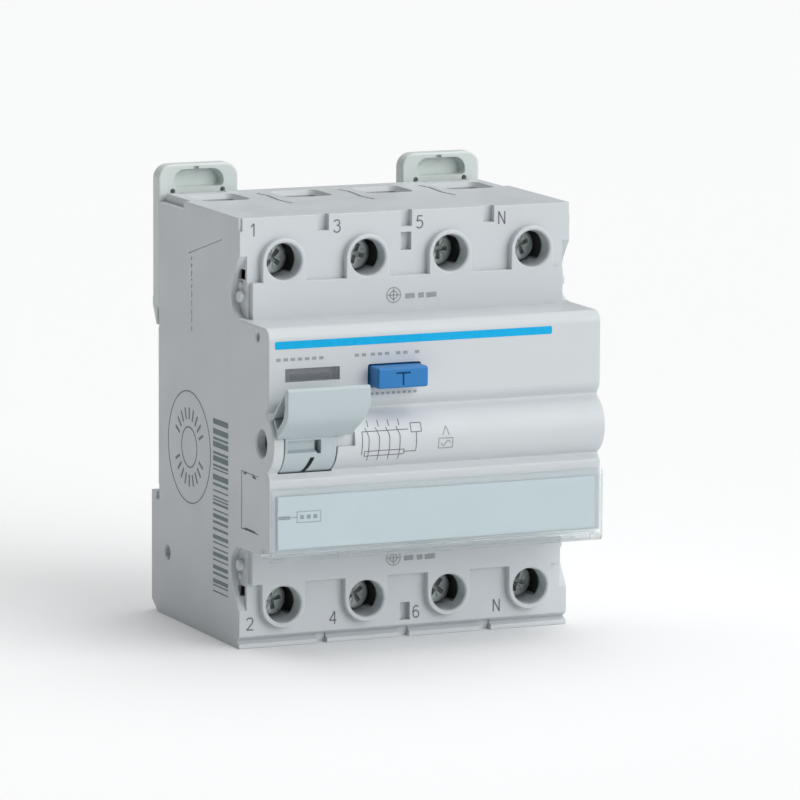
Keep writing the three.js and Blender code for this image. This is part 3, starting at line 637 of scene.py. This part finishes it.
def top_grooves():
    """The curved parting grooves on the top and bottom, one beside each module boundary."""
    cutters = []
    for n in (-1, 0, 1):
        x = n * MODULE + 0.6
        for level, up in ((TOP, 1), (BOTTOM, -1)):
            curve = [(x, -7), (x + 0.7, -11), (x + 0.3, -15), (x - 0.1, -19), (x + 0.5, -24.5)]
            width = 0.35
            outline = [(u - width, v) for u, v in curve] + [(u + width, v) for u, v in reversed(curve)]
            cutters.append(prism("z", outline, *sorted((level - up * 0.7, level + up))))
    return cutters


def back_lines():
    """Shallow lines on the back at the module boundaries."""
    return [block((x - 0.25, x + 0.25), (-0.6, 1), (BOTTOM - 1, TOP + 1)) for x in (-MODULE, 0, MODULE)]


def side_marks():
    """Shallow sunk marks on the left wall: a round dimple, a slanted line and a column of dashes."""
    wall = (-HALF_WIDTH - 1, -HALF_WIDTH + 0.25)
    dimple = [(1.75, wall[0]), (1.65, -HALF_WIDTH), (1.45, -HALF_WIDTH + 0.3), (1.45, -HALF_WIDTH + 1.4)]
    line = [(-16.6, TOP - 9.9), (-16.4, TOP - 10.2), (-33.9, TOP - 5.4), (-34.1, TOP - 5.1)]
    marks = [turned("x", -4.9, BOTTOM + 13.1, dimple, 32), prism("x", line, *wall)]
    draw = random.Random(3)
    z = TOP - 10.6
    while z > TOP - 25:
        length = draw.uniform(0.5, 1.4)
        marks.append(block(wall, (-18.25, -17.75), (z - length, z)))
        z -= length + draw.uniform(0.4, 0.8)
    return marks


def side_insert():
    (_, _), (y0, y1), (z0, z1) = INSERT
    x0 = -HALF_WIDTH + 0.05
    panel = soften(block((x0, x0 + 1.5), (y0, y1), (z0, z1)), 0.2, 2)
    cut(panel, block((x0 - 1, x0 + 0.5), (y0 + 1.2, y0 + 3.2), (z1 - 0.7, z1 + 1)),
        block((x0 - 1, x0 + 0.5), (y1 - 2.4, y1 - 1), (z1 - 0.5, z1 + 1)),
        block((x0 - 1, x0 + 0.5), (y0 + 1.5, y1 - 1.5), (z0 - 1, z0 + 0.45)))
    return finish(panel, "side_insert_panel", "case", M["housing"], ["side_insert"])


# ------------------------------------------------------------------ rail clips
def rail_clip(side):
    node = "rail_clip_left" if side < 0 else "rail_clip_right"
    (x0, x1), (_, back), (low, high) = span(node)
    x = (x0 + x1) / 2
    front = 0.3
    shoulder = RAIL_HALF + 0.3
    top = rounded((x0, x1), (shoulder, high), 2.9, 8)
    body = soften(prism("y", top, front, back), 0.45, 3)
    eye = loft("y", [(arch(x, 5.6, high - 4.9, high - 0.9), front - 0.4),
                     (arch(x, 5.3, high - 4.7, high - 1.1), front + 0.3),
                     (arch(x, 5.1, high - 4.6, high - 1.2), back - 1.1)])
    notch = block((x - 1.1, x + 0.1), (front - 1, front + 0.9), (high - 2.2, high - 0.5))
    pips = [rod("y", x + dx, high - 5.4, 0.55, front - 1, front + 1.6, 20) for dx in (-5.6, 5.2)]
    slope = [(2.4, shoulder - 1), (back + 1, shoulder - 1), (back + 1, shoulder + 2.8), (back, shoulder + 2.8)]
    taper = prism("x", slope, x0 - 1, x1 + 1)
    cut(body, eye, notch, taper, *pips)
    beak = [(1.3, shoulder + 1.8), (1.3, low), (1.8, low), (back, shoulder + 2.2), (back, shoulder + 4)]
    hook = soften(prism("x", beak, x0, x1), 0.15, 2)
    neck = soften(block((x - 3.2, x + 3.2), (-1.3, front + 1), (20, 40)), 0.2, 2)
    foot = soften(block((x - 4.7, x + 4.7), (-2.0, -1.3), (20, 40)), 0.2, 2)
    levels = [high - 9 - 2 * n for n in range(4)]
    grips = [soften(block((x - 6, x + 6), (back - 0.5, back), (z, z + 0.9)), 0.2, 2) for z in levels]
    join(body, hook, neck, foot)
    cut(body, *grips)
    name = "rail_clip_left_body" if side < 0 else "rail_clip_right_body"
    return finish(body, name, "clip_left" if side < 0 else "clip_right", M["clip"], [node])


def arch(x, half, low, high):
    """A round-topped opening's outline."""
    corner = 2.4
    foot = 0.9
    points = arc(x + half - foot, low + foot, foot, -math.pi / 2, 0, 4)
    points += arc(x + half - corner, high - corner, corner, 0, math.pi / 2, 8)
    points += arc(x - half + corner, high - corner, corner, math.pi / 2, math.pi, 8)
    return points + arc(x - half + foot, low + foot, foot, math.pi, math.pi * 1.5, 4)


# ------------------------------------------------------------------ lever
def lever_plate(foot):
    """The curved front plate, cut away at its lower right corner."""
    (x0, x1), (front, _), (_, top) = LEVER
    low = top - PLATE_DROP
    thickness = 0.9
    outer = [foot, (front + 1.9, low - 1.6), (front + 0.7, low - 0.4), (front + 0.15, low + 0.8),
             (front, low + 2.2), (front, top - 0.7), (front + 0.25, top - 0.2), (front + 0.8, top)]
    inner = [(front + thickness, top - 0.3), (front + thickness, low + 1.3), (front + 2.2, low - 0.1),
             (foot[0] + 0.1, foot[1] + 2.0)]
    right = x1 - 1.0
    corner = [(x1 + 1, low - 12), (right - 1.6, low - 12), (right - 0.9, LEVER_Z + 1.5), (right, low),
              (x1, low + 2.5), (x1 + 1, low + 2.5)]
    plate = cut(prism("x", outer + inner, x0, x1), prism("y", corner, front - 2, LEVER_Y))
    return soften(plate, 0.3, 3)


def lever_wedge():
    """The hollow wedge behind the plate, open to the left."""
    (x0, _), (front, _), (_, top) = LEVER
    low = top - PLATE_DROP
    y, z = NOSE_Y - 0.4, top - 6.6
    solid = [(front + 0.5, top - 0.4), (front + 1.3, top - 0.2), (y, z), (y - 0.1, z - 1.2)]
    solid += arc(LEVER_Y, LEVER_Z, BULGE_RADIUS + 0.5, math.pi - 0.88, math.pi - 0.3, 8)
    solid += [(front + 1.9, low - 1.0), (front + 0.8, low + 2.0)]
    pocket = [(front + 2.0, top - 1.5), (y - 0.7, z - 0.3), (y - 0.9, z - 1.4)]
    pocket += arc(LEVER_Y, LEVER_Z, BULGE_RADIUS + 1.3, math.pi - 0.8, math.pi - 0.45, 6)
    pocket += [(front + 2.4, low + 0.3), (front + 1.7, low + 2.4)]
    wedge = soften(prism("x", solid, x0 + 0.15, DRUM_X[1] - 0.8), 0.15, 2)
    return cut(wedge, prism("x", pocket, x0 - 1, DRUM_X[1] - 2))


def lever_arm(foot):
    """What joins the plate and the wedge to the drum."""
    back = LEVER_Y - 4.8
    points = [(back, LEVER_Z + 0.2), (foot[0] + 0.4, foot[1] + 0.1), (foot[0] + 0.3, foot[1] + 2.4),
              (back + 0.7, LEVER_Z + 4.6)]
    return soften(prism("x", points, DRUM_X[0], DRUM_X[1] - 0.8), 0.3, 2)


def toggle_lever():
    drum = soften(rod("x", LEVER_Y, LEVER_Z, BULGE_RADIUS, *DRUM_X, 72), 0.25, 3, 60)
    foot = (LEVER_Y - BULGE_RADIUS - 0.55, LEVER_Z + 1.7)
    lever = join(drum, lever_plate(foot), lever_arm(foot), lever_wedge())
    join(lever, rod("x", LEVER_Y, LEVER_Z - 3.5, 0.6, DRUM_X[1] - 1, LEVER[0][0] + 15.1, 20))
    inside, outside = LEVER_Y - 4.9, LEVER_Y - 9
    dip = [(outside, LEVER_Z + 1.1), (inside, LEVER_Z + 1.1), (inside, LEVER_Z - 0.9), (outside, LEVER_Z - 2.4)]
    recess = prism("x", dip, DRUM_X[0] + 0.5, DRUM_X[1] - 3.3)
    slot = block((DRUM_X[1] - 4.2, DRUM_X[1] - 3.3), (outside, LEVER_Y - 3.4), (LEVER_Z - 1.6, LEVER_Z + 1.1))
    cut(lever, recess, slot, rod("x", LEVER_Y, LEVER_Z, 1.5, DRUM_X[0] - 1, DRUM_X[1] + 1, 32),
        rod("x", LEVER_Y, LEVER_Z, 2.3, DRUM_X[0] - 1, DRUM_X[0] + 6, 32))
    finish(lever, "toggle_lever_body", "lever", M["lever"], ["toggle_lever"])
    drum_mark()


def lever_pin():
    profile = [(1.9, -34.0), (2.3, -33.6), (2.3, -33.3), (1.2, -33.3), (1.2, -16.4), (0.9, -16.1)]
    pin = turned("x", LEVER_Y, LEVER_Z, profile, 32)
    cut(pin, rod("x", LEVER_Y, LEVER_Z, 1.1, -35, -33.5, 24))
    # The pin takes the dark plastic, not the steel of the CAD pin: painted shade, so the recessed pin reads as a
    # dark empty hole.
    finish(pin, "lever_pin_body", "case", M["insulator"], ["lever_pin"])


def drum_mark():
    """A plain bar on the drum, slanted like a stroke, that shows when the lever is up."""
    low, high = LEVER_Z - 5.6, LEVER_Z - 2.4
    x = DRUM_X[0]
    points = [(x + 4.6, low), (x + 5.5, low), (x + 6.4, high), (x + 5.5, high)]
    mark = wrapped(points, lambda _, z: LEVER_Y - math.sqrt(BULGE_RADIUS ** 2 - (z - LEVER_Z) ** 2), 8)
    finish(mark, "lever_position_bar", "lever", M["dark"])


def wrapped(points, depth, steps=6, lift=0.04, thickness=0.08):
    """A thin quadrilateral decal laid on a surface y = depth(x, z)."""
    (ax, az), (bx, bz), (cx, cz), (dx, dz) = points
    bm = bmesh.new()
    layers = []
    for offset in (-lift, thickness - lift):
        rows = []
        for i in range(steps + 1):
            t = i / steps
            left = (ax + (dx - ax) * t, az + (dz - az) * t)
            right = (bx + (cx - bx) * t, bz + (cz - bz) * t)
            places = [(x * MM, (depth(x, z) + offset) * MM, z * MM) for x, z in (left, right)]
            rows.append([bm.verts.new(point) for point in places])
        layers.append(rows)
    outer, inner = layers
    for rows in (outer, inner):
        for low, high in zip(rows, rows[1:]):
            bm.faces.new((low[0], low[1], high[1], high[0]))
    for side in (0, 1):
        for i in range(steps):
            bm.faces.new((outer[i][side], outer[i + 1][side], inner[i + 1][side], inner[i][side]))
    for end in (0, -1):
        bm.faces.new((outer[end][0], outer[end][1], inner[end][1], inner[end][0]))
    return new_object("decal", bm)


# ------------------------------------------------------------------ button, window and flag
def test_button():
    head = soften(block(BUTTON_X, (BUTTON_FRONT, -54.6), BUTTON_Z), 0.45, 4)
    flange = soften(block(wider(BUTTON_X, 1.1), (-55.4, -54.4), wider(BUTTON_Z, 1.1)), 0.2, 2)
    x, _, z = BUTTON_PLACE
    join(head, flange, rod("y", x, z, 1.1, -55, -49.6, 32))
    stroke = 0.38
    bar = rectangle((x - 1.5, x + 1.5), (z + 0.75, z + 0.75 + stroke))
    stem = rectangle((x - stroke / 2, x + stroke / 2), (z - 1.5, z + 0.9))
    cut(head, *[prism("y", points, BUTTON_FRONT - 1, BUTTON_FRONT + 0.25) for points in (bar, stem)])
    finish(head, "test_button_body", "button", M["button"], ["test_button"])
    # The floor of the engraved T is filled with a darker blue: painted shade in the recess of the T.
    t_shade_strips = [prism("y", points, BUTTON_FRONT + 0.12, BUTTON_FRONT + 0.3) for points in (bar, stem)]
    for n, t_shade_strip in enumerate(t_shade_strips):
        finish(t_shade_strip, f"button_t_shade_{n + 1}", "button", M["deep"])


def indicator():
    outline = rounded(wider(WINDOW_X, 0.15), wider(WINDOW_Z, 0.15), 0.15)
    lens = soften(prism("y", outline, NOSE_Y + 0.15, NOSE_Y + 1.1), 0.08, 2)
    finish(lens, "indicator_lens", "case", M["window"], ["indicator_window"])
    (x0, x1) = (WINDOW_X[0], WINDOW_X[1] - 0.1)
    _, pivot_y, pivot_z = joint_place("flag_turn")
    radius = pivot_y - span("indicator_flag")[1][0]
    above, below = math.pi - 0.66, math.pi + 0.38
    face = arc(pivot_y, pivot_z, radius, above, below, 20)
    face += arc(pivot_y, pivot_z, radius - 0.9, below, above, 20)
    plate = soften(prism("x", face, x0 - 0.1, x1 + 0.1), 0.1, 2)
    arm = [(pivot_y, pivot_z - 1.2), (pivot_y, pivot_z + 1.2), (pivot_y - radius + 0.5, pivot_z + 0.8),
           (pivot_y - radius + 0.5, pivot_z - 0.8)]
    arms = [soften(prism("x", arm, x, x + 1), 0.12, 2) for x in (x0, x1 - 1)]
    profile = [(0.6, x0 - 1.1), (0.8, x0 - 0.9), (0.8, x0), (1.4, x0), (1.4, x1), (0.8, x1), (0.8, -16.3)]
    axle = turned("x", pivot_y, pivot_z, profile, 24)
    join(plate, *arms, axle)
    finish(plate, "indicator_flag_plate", "flag", M["pale"], ["indicator_flag"])
    wide = arc(pivot_y, pivot_z, radius + 0.04, math.pi - 0.07, math.pi + 0.06, 8)
    narrow = arc(pivot_y, pivot_z, radius - 0.1, math.pi + 0.06, math.pi - 0.07, 8)
    bar = prism("x", wide + narrow, x0 + 1.6, x1 - 0.8)
    finish(bar, "flag_bar", "flag", M["flag"])


# ------------------------------------------------------------------ label cover and card
def label_cover():
    (x0, x1), (front, _), (low, high) = span("label_cover")
    skin = 0.8
    section = [(LABEL_Y - 0.45, high), (front + 0.35, high - 0.25), (front, high - 1.3),
               (front, NOSE_BOTTOM + 0.3),
               (front + 0.5, low + 0.05), (HINGE_Y, low + 0.05), (HINGE_Y, low + 0.95),
               (front + 1.2, NOSE_BOTTOM + 0.75),
               (front + skin, NOSE_BOTTOM + 1.1), (front + skin, high - 1.7)]
    tray = soften(prism("x", section, x0, x1), 0.16, 2)
    ends = []
    cheek = rectangle((front + 0.1, LABEL_Y - 0.4), (NOSE_BOTTOM + 0.2, high - 1.4))
    for side in (-1, 1):
        across = sorted((side * (x1 - 1.1), side * (x1 - 0.02)))
        ends.append(soften(prism("x", cheek, *across), 0.12, 2))
    barrel = soften(rod("x", HINGE_Y, HINGE_Z, 0.7, x0, x1, 28), 0.1, 2, 60)
    rib = block((x0 + 1.4, x1 - 1.4), (front, front + 1.1), (NOSE_BOTTOM + 1.3, NOSE_BOTTOM + 1.75))
    soften(rib, 0.12, 2)
    join(tray, barrel, rib, *ends)
    tabs = [block((x - 1.1, x + 1.1), (front - 1, front + 0.45), (NOSE_BOTTOM - 1, NOSE_BOTTOM + 1.0))
            for x in (-20.5, x1 - 1.6)]
    cut(tray, *tabs)
    finish(tray, "label_cover_clear", "card_cover", M["cover"], ["label_cover"])


def label_card():
    (x0, x1), (front, back), (low, high) = span("label_card")
    card = soften(prism("y", rounded((x0, x1), (low, high), 0.4), front, back), 0.05, 2)
    finish(card, "label_card_sheet", "case", M["card"], ["label_card"])
    z = (low + high) / 2 + 1.0
    strokes = [((x0 + 0.1, x0 + 2.6), (z - 0.35, z + 0.35)), ((x0 + 2.6, x0 + 4), (z - 0.09, z + 0.09))]
    strokes += [((x0 + 4, x0 + 9.1), (z - 1.15, z - 1.0)), ((x0 + 4, x0 + 9.1), (z + 1.0, z + 1.15)),
                ((x0 + 4, x0 + 4.15), (z - 1.1, z + 1.1)), ((x0 + 8.95, x0 + 9.1), (z - 1.1, z + 1.1))]
    strokes += [((x0 + start, x0 + start + 0.8), (z - 0.4, z + 0.4)) for start in (4.7, 6.1, 7.5)]
    drawing = join(*[block(x, (front - 0.05, front + 0.05), zz) for x, zz in strokes])
    finish(drawing, "card_symbol", "case", M["faint"])


# ------------------------------------------------------------------ terminal screws
def screw_mesh():
    """A pan head with a cross recess and thread rings on the shank, centred on the Y axis."""
    length = span("line_screw_1")[1][1] - HEAD_Y
    head = [(0.75, 0), (0.25, 0.12), (0, 0.5), (0, 1.9), (0.2, 2.2)]
    profile = [(HEAD_RADIUS - less, depth) for less, depth in head] + [(1.75, 2.2)]
    pitch = 0.8
    turns = int((length - 3.2) / pitch)
    for n in range(turns):
        depth = 2.6 + n * pitch
        profile += [(1.55, depth), (1.9, depth + pitch / 2)]
    profile += [(1.4, length - 0.3), (1.0, length)]
    screw = turned("y", 0, 0, profile, 40)
    arms = []
    for w, h in ((0.5, 2.25), (2.25, 0.5)):
        mouth, floor = rectangle((-w, w), (-h, h)), rectangle((-w * 0.7, w * 0.7), (-h * 0.72, h * 0.72))
        arms.append(loft("y", [(mouth, -0.5), (floor, 1.4)]))
    cut(screw, *arms)
    fine = [prism("y", [(r * math.cos(a) - s * math.sin(a), r * math.sin(a) + s * math.cos(a))
                        for r, s in ((0.6, -0.09), (2.0, -0.09), (2.0, 0.09), (0.6, 0.09))], -0.5, 0.28)
            for a in (math.pi * (k + 0.5) / 2 for k in range(4))]
    return cut(screw, *fine)


def terminal_screws():
    first = screw_mesh()
    first.data.materials.append(M["screw"])
    smooth(first)
    for side, z in (("line", UPPER_Z), ("load", LOWER_Z)):
        for n, x in enumerate(POLES, 1):
            copy = bpy.data.objects.new(f"{side}_screw_{n}_body", first.data.copy())
            bpy.context.scene.collection.objects.link(copy)
            turn = 0.5 + 0.37 * n + (0.9 if side == "load" else 0)
            for vertex in copy.data.vertices:
                px, pz = vertex.co.x, vertex.co.z
                vertex.co.x = px * math.cos(turn) - pz * math.sin(turn) + x * MM
                vertex.co.z = px * math.sin(turn) + pz * math.cos(turn) + z * MM
                vertex.co.y += HEAD_Y * MM
            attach(copy, f"{side}_screw_{n}")
            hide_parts(f"{side}_screw_{n}")
    bpy.data.objects.remove(first)


# ------------------------------------------------------------------ printing on the front
def face_depth(x, z):
    """Y of the front surface at a place on the nose or the faces."""
    if abs(z - LEVER_Z) < BULGE_RADIUS * 0.83:
        return LEVER_Y - math.sqrt(BULGE_RADIUS ** 2 - (z - LEVER_Z) ** 2)
    if NOSE_BOTTOM < z < NOSE_TOP:
        return NOSE_Y
    return BAND_Y if BAND_BOTTOM < z < BAND_TOP else FACE_Y


def stroke(start, end, width):
    """A straight stroke between two places on the front, as a decal that follows the surface."""
    (ax, az), (bx, bz) = start, end
    length = math.hypot(bx - ax, bz - az)
    nx, nz = (bz - az) / length * width / 2, -(bx - ax) / length * width / 2
    corners = [(ax - nx, az - nz), (ax + nx, az + nz), (bx + nx, bz + nz), (bx - nx, bz - nz)]
    return wrapped(corners, face_depth, max(1, int(abs(bz - az) / 0.5)))


def merge(objects, name):
    """Separate decals as one object."""
    bm = bmesh.new()
    for obj in objects:
        bm.from_mesh(obj.data)
        bpy.data.objects.remove(obj)
    return new_object(name, bm)


def print_on(name, strokes, ink, width=0.22):
    decals = [stroke(start, end, width) for start, end in strokes]
    piece = merge(decals, name)
    return finish(piece, name, "case", M[ink])


# each glyph is a set of polylines in a box one unit high and 0.6 wide
DIGITS = {
    "1": [[(0.1, 0.75), (0.35, 1.0), (0.35, 0.0)]],
    "2": [[(0.02, 0.8), (0.15, 0.97), (0.42, 0.97), (0.55, 0.78), (0.5, 0.55), (0.02, 0.02), (0.58, 0.02)]],
    "3": [[(0.03, 0.85), (0.2, 0.98), (0.42, 0.96), (0.52, 0.76), (0.42, 0.56), (0.25, 0.54)],
          [(0.42, 0.54), (0.56, 0.36), (0.5, 0.1), (0.3, 0.0), (0.1, 0.04), (0.01, 0.2)]],
    "4": [[(0.42, 0.0), (0.42, 1.0), (0.0, 0.3), (0.58, 0.3)]],
    "5": [[(0.52, 0.98), (0.14, 0.98), (0.07, 0.56), (0.3, 0.64), (0.5, 0.54), (0.56, 0.3), (0.44, 0.06),
           (0.22, 0.0), (0.02, 0.12)]],
    "6": [[(0.5, 0.86), (0.32, 0.99), (0.12, 0.84), (0.03, 0.45), (0.1, 0.1), (0.3, 0.0), (0.5, 0.1),
           (0.56, 0.32), (0.44, 0.54), (0.24, 0.6), (0.06, 0.42)]],
    "N": [[(0.03, 0.0), (0.03, 1.0), (0.55, 0.0), (0.55, 1.0)]],
}


def glyph(character, x, z, height):
    strokes = []
    for line in DIGITS[character]:
        places = [(x + u * height, z + v * height) for u, v in line]
        strokes += list(zip(places, places[1:]))
    return strokes


def terminal_numbers():
    height = 2.5
    upper = [("1", -33.4), ("3", -15.6), ("5", 2.1), ("N", 19.9)]
    lower = [("2", -34.0), ("4", -16.2), ("6", 1.7), ("N", 19.3)]
    strokes = [s for character, x in upper for s in glyph(character, x, TOP - 3.7, height)]
    strokes += [s for character, x in lower for s in glyph(character, x, BOTTOM + 3.7, height)]
    print_on("terminal_numbers", strokes, "ink", 0.26)


def screw_symbols():
    """A plain screw-head symbol and three short bars on each band."""
    strokes = []
    for x, z in ((-3.4, NOSE_TOP + 3.4), (-3.2, NOSE_BOTTOM - 4.0)):
        for radius, steps in ((1.5, 20), (0.8, 14)):
            ring = closed(circle(x, z, radius, steps))
            strokes += list(zip(ring, ring[1:]))
        strokes += [((x - 1.3, z), (x + 1.3, z)), ((x, z - 1.3), (x, z + 1.3))]
    print_on("screw_symbols", strokes, "faint", 0.2)
    bars = []
    for z in (NOSE_TOP + 3.1, NOSE_BOTTOM - 4.2):
        for x, length in ((-0.9, 2.0), (1.9, 1.2), (3.6, 2.2)):
            bars.append(((x, z - 0.05), (x + length, z + 0.05)))
    print_on("band_bars", bars, "faint", 1.0)


def rating_bars():
    """Plain dashes where the real device has its rating."""
    z = NOSE_TOP - 6.1
    left = [((x, z), (x + 0.9, z)) for x in (-33.9, -32.4, -30.9, -29.4, -27.9, -26.4, -24.9)]
    right = [((x, z + 0.1), (x + 0.9, z + 0.1)) for x in (-17.4, -15.9, -14.0, -12.5, -11.0, -8.6, -7.1, -4.6)]
    print_on("rating_bars", left + right, "faint", 0.6)
    z = BUTTON_Z[0] - 1.5
    starts = [BUTTON_X[0] + 0.2 + 1.15 * k for k in range(9)]
    small = [((x, z), (x + 0.7, z)) for x in starts]
    print_on("button_bars", small, "faint", 0.5)


def circuit_drawing():
    """A generic circuit: four switched lines through a ring, a relay box and a test branch."""
    x0, top, bottom = -15.4, LEVER_Z + 4.0, LEVER_Z - 3.9
    strokes = []
    for k in range(4):
        x = x0 + 2.2 * k
        blade = (x, top - 3.0)
        strokes += [((x, top), (x, top - 1.2)), ((x - 0.7, top - 1.3), blade), (blade, (x, bottom))]
    lines = [
        [(8.4, top - 2.0), (-1.4, top - 2.0), (-1.4, bottom + 1.3)],
        closed(rectangle((-0.8, 7.6), (bottom + 1.0, bottom + 2.0))),
        closed(rectangle((9.0, 11.2), (top - 2.6, top - 0.9))),
        [(10.1, top - 2.6), (10.1, bottom + 1.5), (7.6, bottom + 1.5)],
    ]
    for line in lines:
        places = [(x0 + x, z) for x, z in line]
        strokes += list(zip(places, places[1:]))
    print_on("circuit_drawing", strokes, "ink", 0.16)
    x, z = x0 + 16.4, LEVER_Z
    wave = [(x + 0.25 * k, z - 1.2 + 0.55 * math.sin(k * math.pi / 4)) for k in range(-4, 5)]
    frame_box = closed(rectangle((x - 1.5, x + 1.5), (z - 2.2, z - 0.2)))
    peak = [(x - 0.7, z + 0.4), (x, z + 2.2), (x + 0.7, z + 0.4)]
    strokes = list(zip(wave, wave[1:])) + list(zip(frame_box, frame_box[1:])) + list(zip(peak, peak[1:]))
    print_on("waveform_symbol", strokes, "faint", 0.2)


def blue_stripe():
    low, high = LEVER_Z + 18.75, LEVER_Z + 20.3
    stripe = prism("y", rounded((-34.2, 24.9), (low, high), 0.35), NOSE_Y - 0.04, NOSE_Y + 0.1)
    finish(stripe, "blue_stripe", "case", M["blue"])


# ------------------------------------------------------------------ printing on the left wall
def ring_decal(y, z, radius, width):
    ring = rod("x", y, z, radius, -HALF_WIDTH - 0.04, -HALF_WIDTH + 0.05, 64)
    return cut(ring, rod("x", y, z, radius - width, -HALF_WIDTH - 1, -HALF_WIDTH + 1, 64))


def seal_label():
    """A round label: two rings with plain ticks between them."""
    y, z = -16.7, -6.0
    pieces = [ring_decal(y, z, 11.4, 0.25), ring_decal(y, z, 4.2, 0.3)]
    for k in range(22):
        angle = 2 * math.pi * (k + 0.5) / 22
        if abs(math.sin(angle)) < 0.3:
            continue
        u, v = math.cos(angle), math.sin(angle)
        tick = rectangle((5.6, 8.0), (-0.28, 0.28))
        corners = [(y + r * u - t * v, z + r * v + t * u) for r, t in tick]
        pieces.append(prism("x", corners, -HALF_WIDTH - 0.04, -HALF_WIDTH + 0.05))
    finish(merge(pieces, "seal_label"), "seal_label", "case", M["side"])


def side_bars():
    """A column of plain bars."""
    draw = random.Random(11)
    z = 1.8
    pieces = []
    while z > -33:
        thick = draw.choice((0.3, 0.5, 0.8, 1.1))
        pieces.append(block((-HALF_WIDTH - 0.04, -HALF_WIDTH + 0.05), (-37.2, -29.4), (z - thick, z)))
        z -= thick + draw.choice((0.35, 0.6, 0.9))
    finish(merge(pieces, "side_bars"), "side_bars", "case", M["side"])


# ------------------------------------------------------------------ CAD nodes that stay as they are
FINISHES = {
    "case_screw": "steel", "line_cage": "steel", "load_cage": "steel", "line_terminal": "copper",
    "load_conductor": "copper", "moving_contact": "silver", "contact_carrier": "insulator", "lever_pin": "steel",
    "lever_spring": "steel", "mechanism_frame": "steel", "link_rod": "steel", "test_spring": "steel",
    "spring_seat": "insulator", "test_contact": "copper", "test_resistor": "insulator", "circuit_board": "board",
    "capacitor": "insulator", "toroid_core": "ferrite", "secondary_winding": "winding", "trip_relay": "insulator",
    "relay_plunger": "steel", "trip_bar": "insulator",
}


def dress_cad_nodes():
    for name, obj in frame["nodes"].items():
        kind = next((k for k in FINISHES if name.startswith(k)), None)
        if kind:
            obj.data.materials.clear()
            obj.data.materials.append(M[FINISHES[kind]])


# ------------------------------------------------------------------ stage
def camera():
    azimuth, elevation, roll = math.radians(23.75), math.radians(8.85), math.radians(0.285)
    distance, target = 1.3, Vector((0.0045, -0.030, 0.0031))
    level = math.cos(elevation)
    back = Vector((-math.sin(azimuth) * level, -math.cos(azimuth) * level, math.sin(elevation)))
    data = bpy.data.cameras.new("camera")
    data.sensor_width = 36
    data.lens = 292.5
    data.clip_end = 20
    cam = bpy.data.objects.new("camera", data)
    bpy.context.scene.collection.objects.link(cam)
    cam.location = target + back * distance
    look = (-back).to_track_quat("-Z", "Y").to_matrix().to_4x4()
    cam.rotation_euler = (look @ Matrix.Rotation(roll, 4, "Z")).to_euler()
    bpy.context.scene.camera = cam


def sun(name, direction, strength, spread):
    """A wide soft light from a direction, given as a vector towards the light."""
    data = bpy.data.lights.new(name, "SUN")
    data.energy = strength
    data.angle = math.radians(spread)
    light = bpy.data.objects.new(name, data)
    bpy.context.scene.collection.objects.link(light)
    light.rotation_euler = Vector(direction).to_track_quat("Z", "Y").to_euler()


def stage():
    bpy.context.scene.view_settings.view_transform = "Standard"
    floor = block((-4000, 4000), (-4000, 4000), (BOTTOM - 1, BOTTOM), "floor")
    nodes = Nodes("floor paint")
    white = (0.93, 0.93, 0.935, 1)
    nodes.link(nodes.mix(nodes.noise(3), white, shade(white, 0.99)), nodes.shader.inputs["Base Color"])
    nodes.shader.inputs["Roughness"].default_value = 0.9
    floor.data.materials.append(nodes.material)
    world = bpy.data.worlds.new("studio")
    bpy.context.scene.world = world
    world.use_nodes = True
    sky = world.node_tree.nodes["Background"]
    sky.inputs["Color"].default_value = (0.96, 1, 1, 1)
    sky.inputs["Strength"].default_value = 0.12
    sun("key", (0.48, -0.74, 0.47), 2.15, 56)
    sun("top", (0.15, 0.2, 1.0), 2.0, 80)


def build():
    camera()
    stage()
    front_cover()
    rear_housing()
    side_insert()
    rail_clip(-1)
    rail_clip(1)
    toggle_lever()
    lever_pin()
    test_button()
    indicator()
    label_cover()
    label_card()
    terminal_screws()
    blue_stripe()
    terminal_numbers()
    screw_symbols()
    rating_bars()
    circuit_drawing()
    seal_label()
    side_bars()
    dress_cad_nodes()


build()
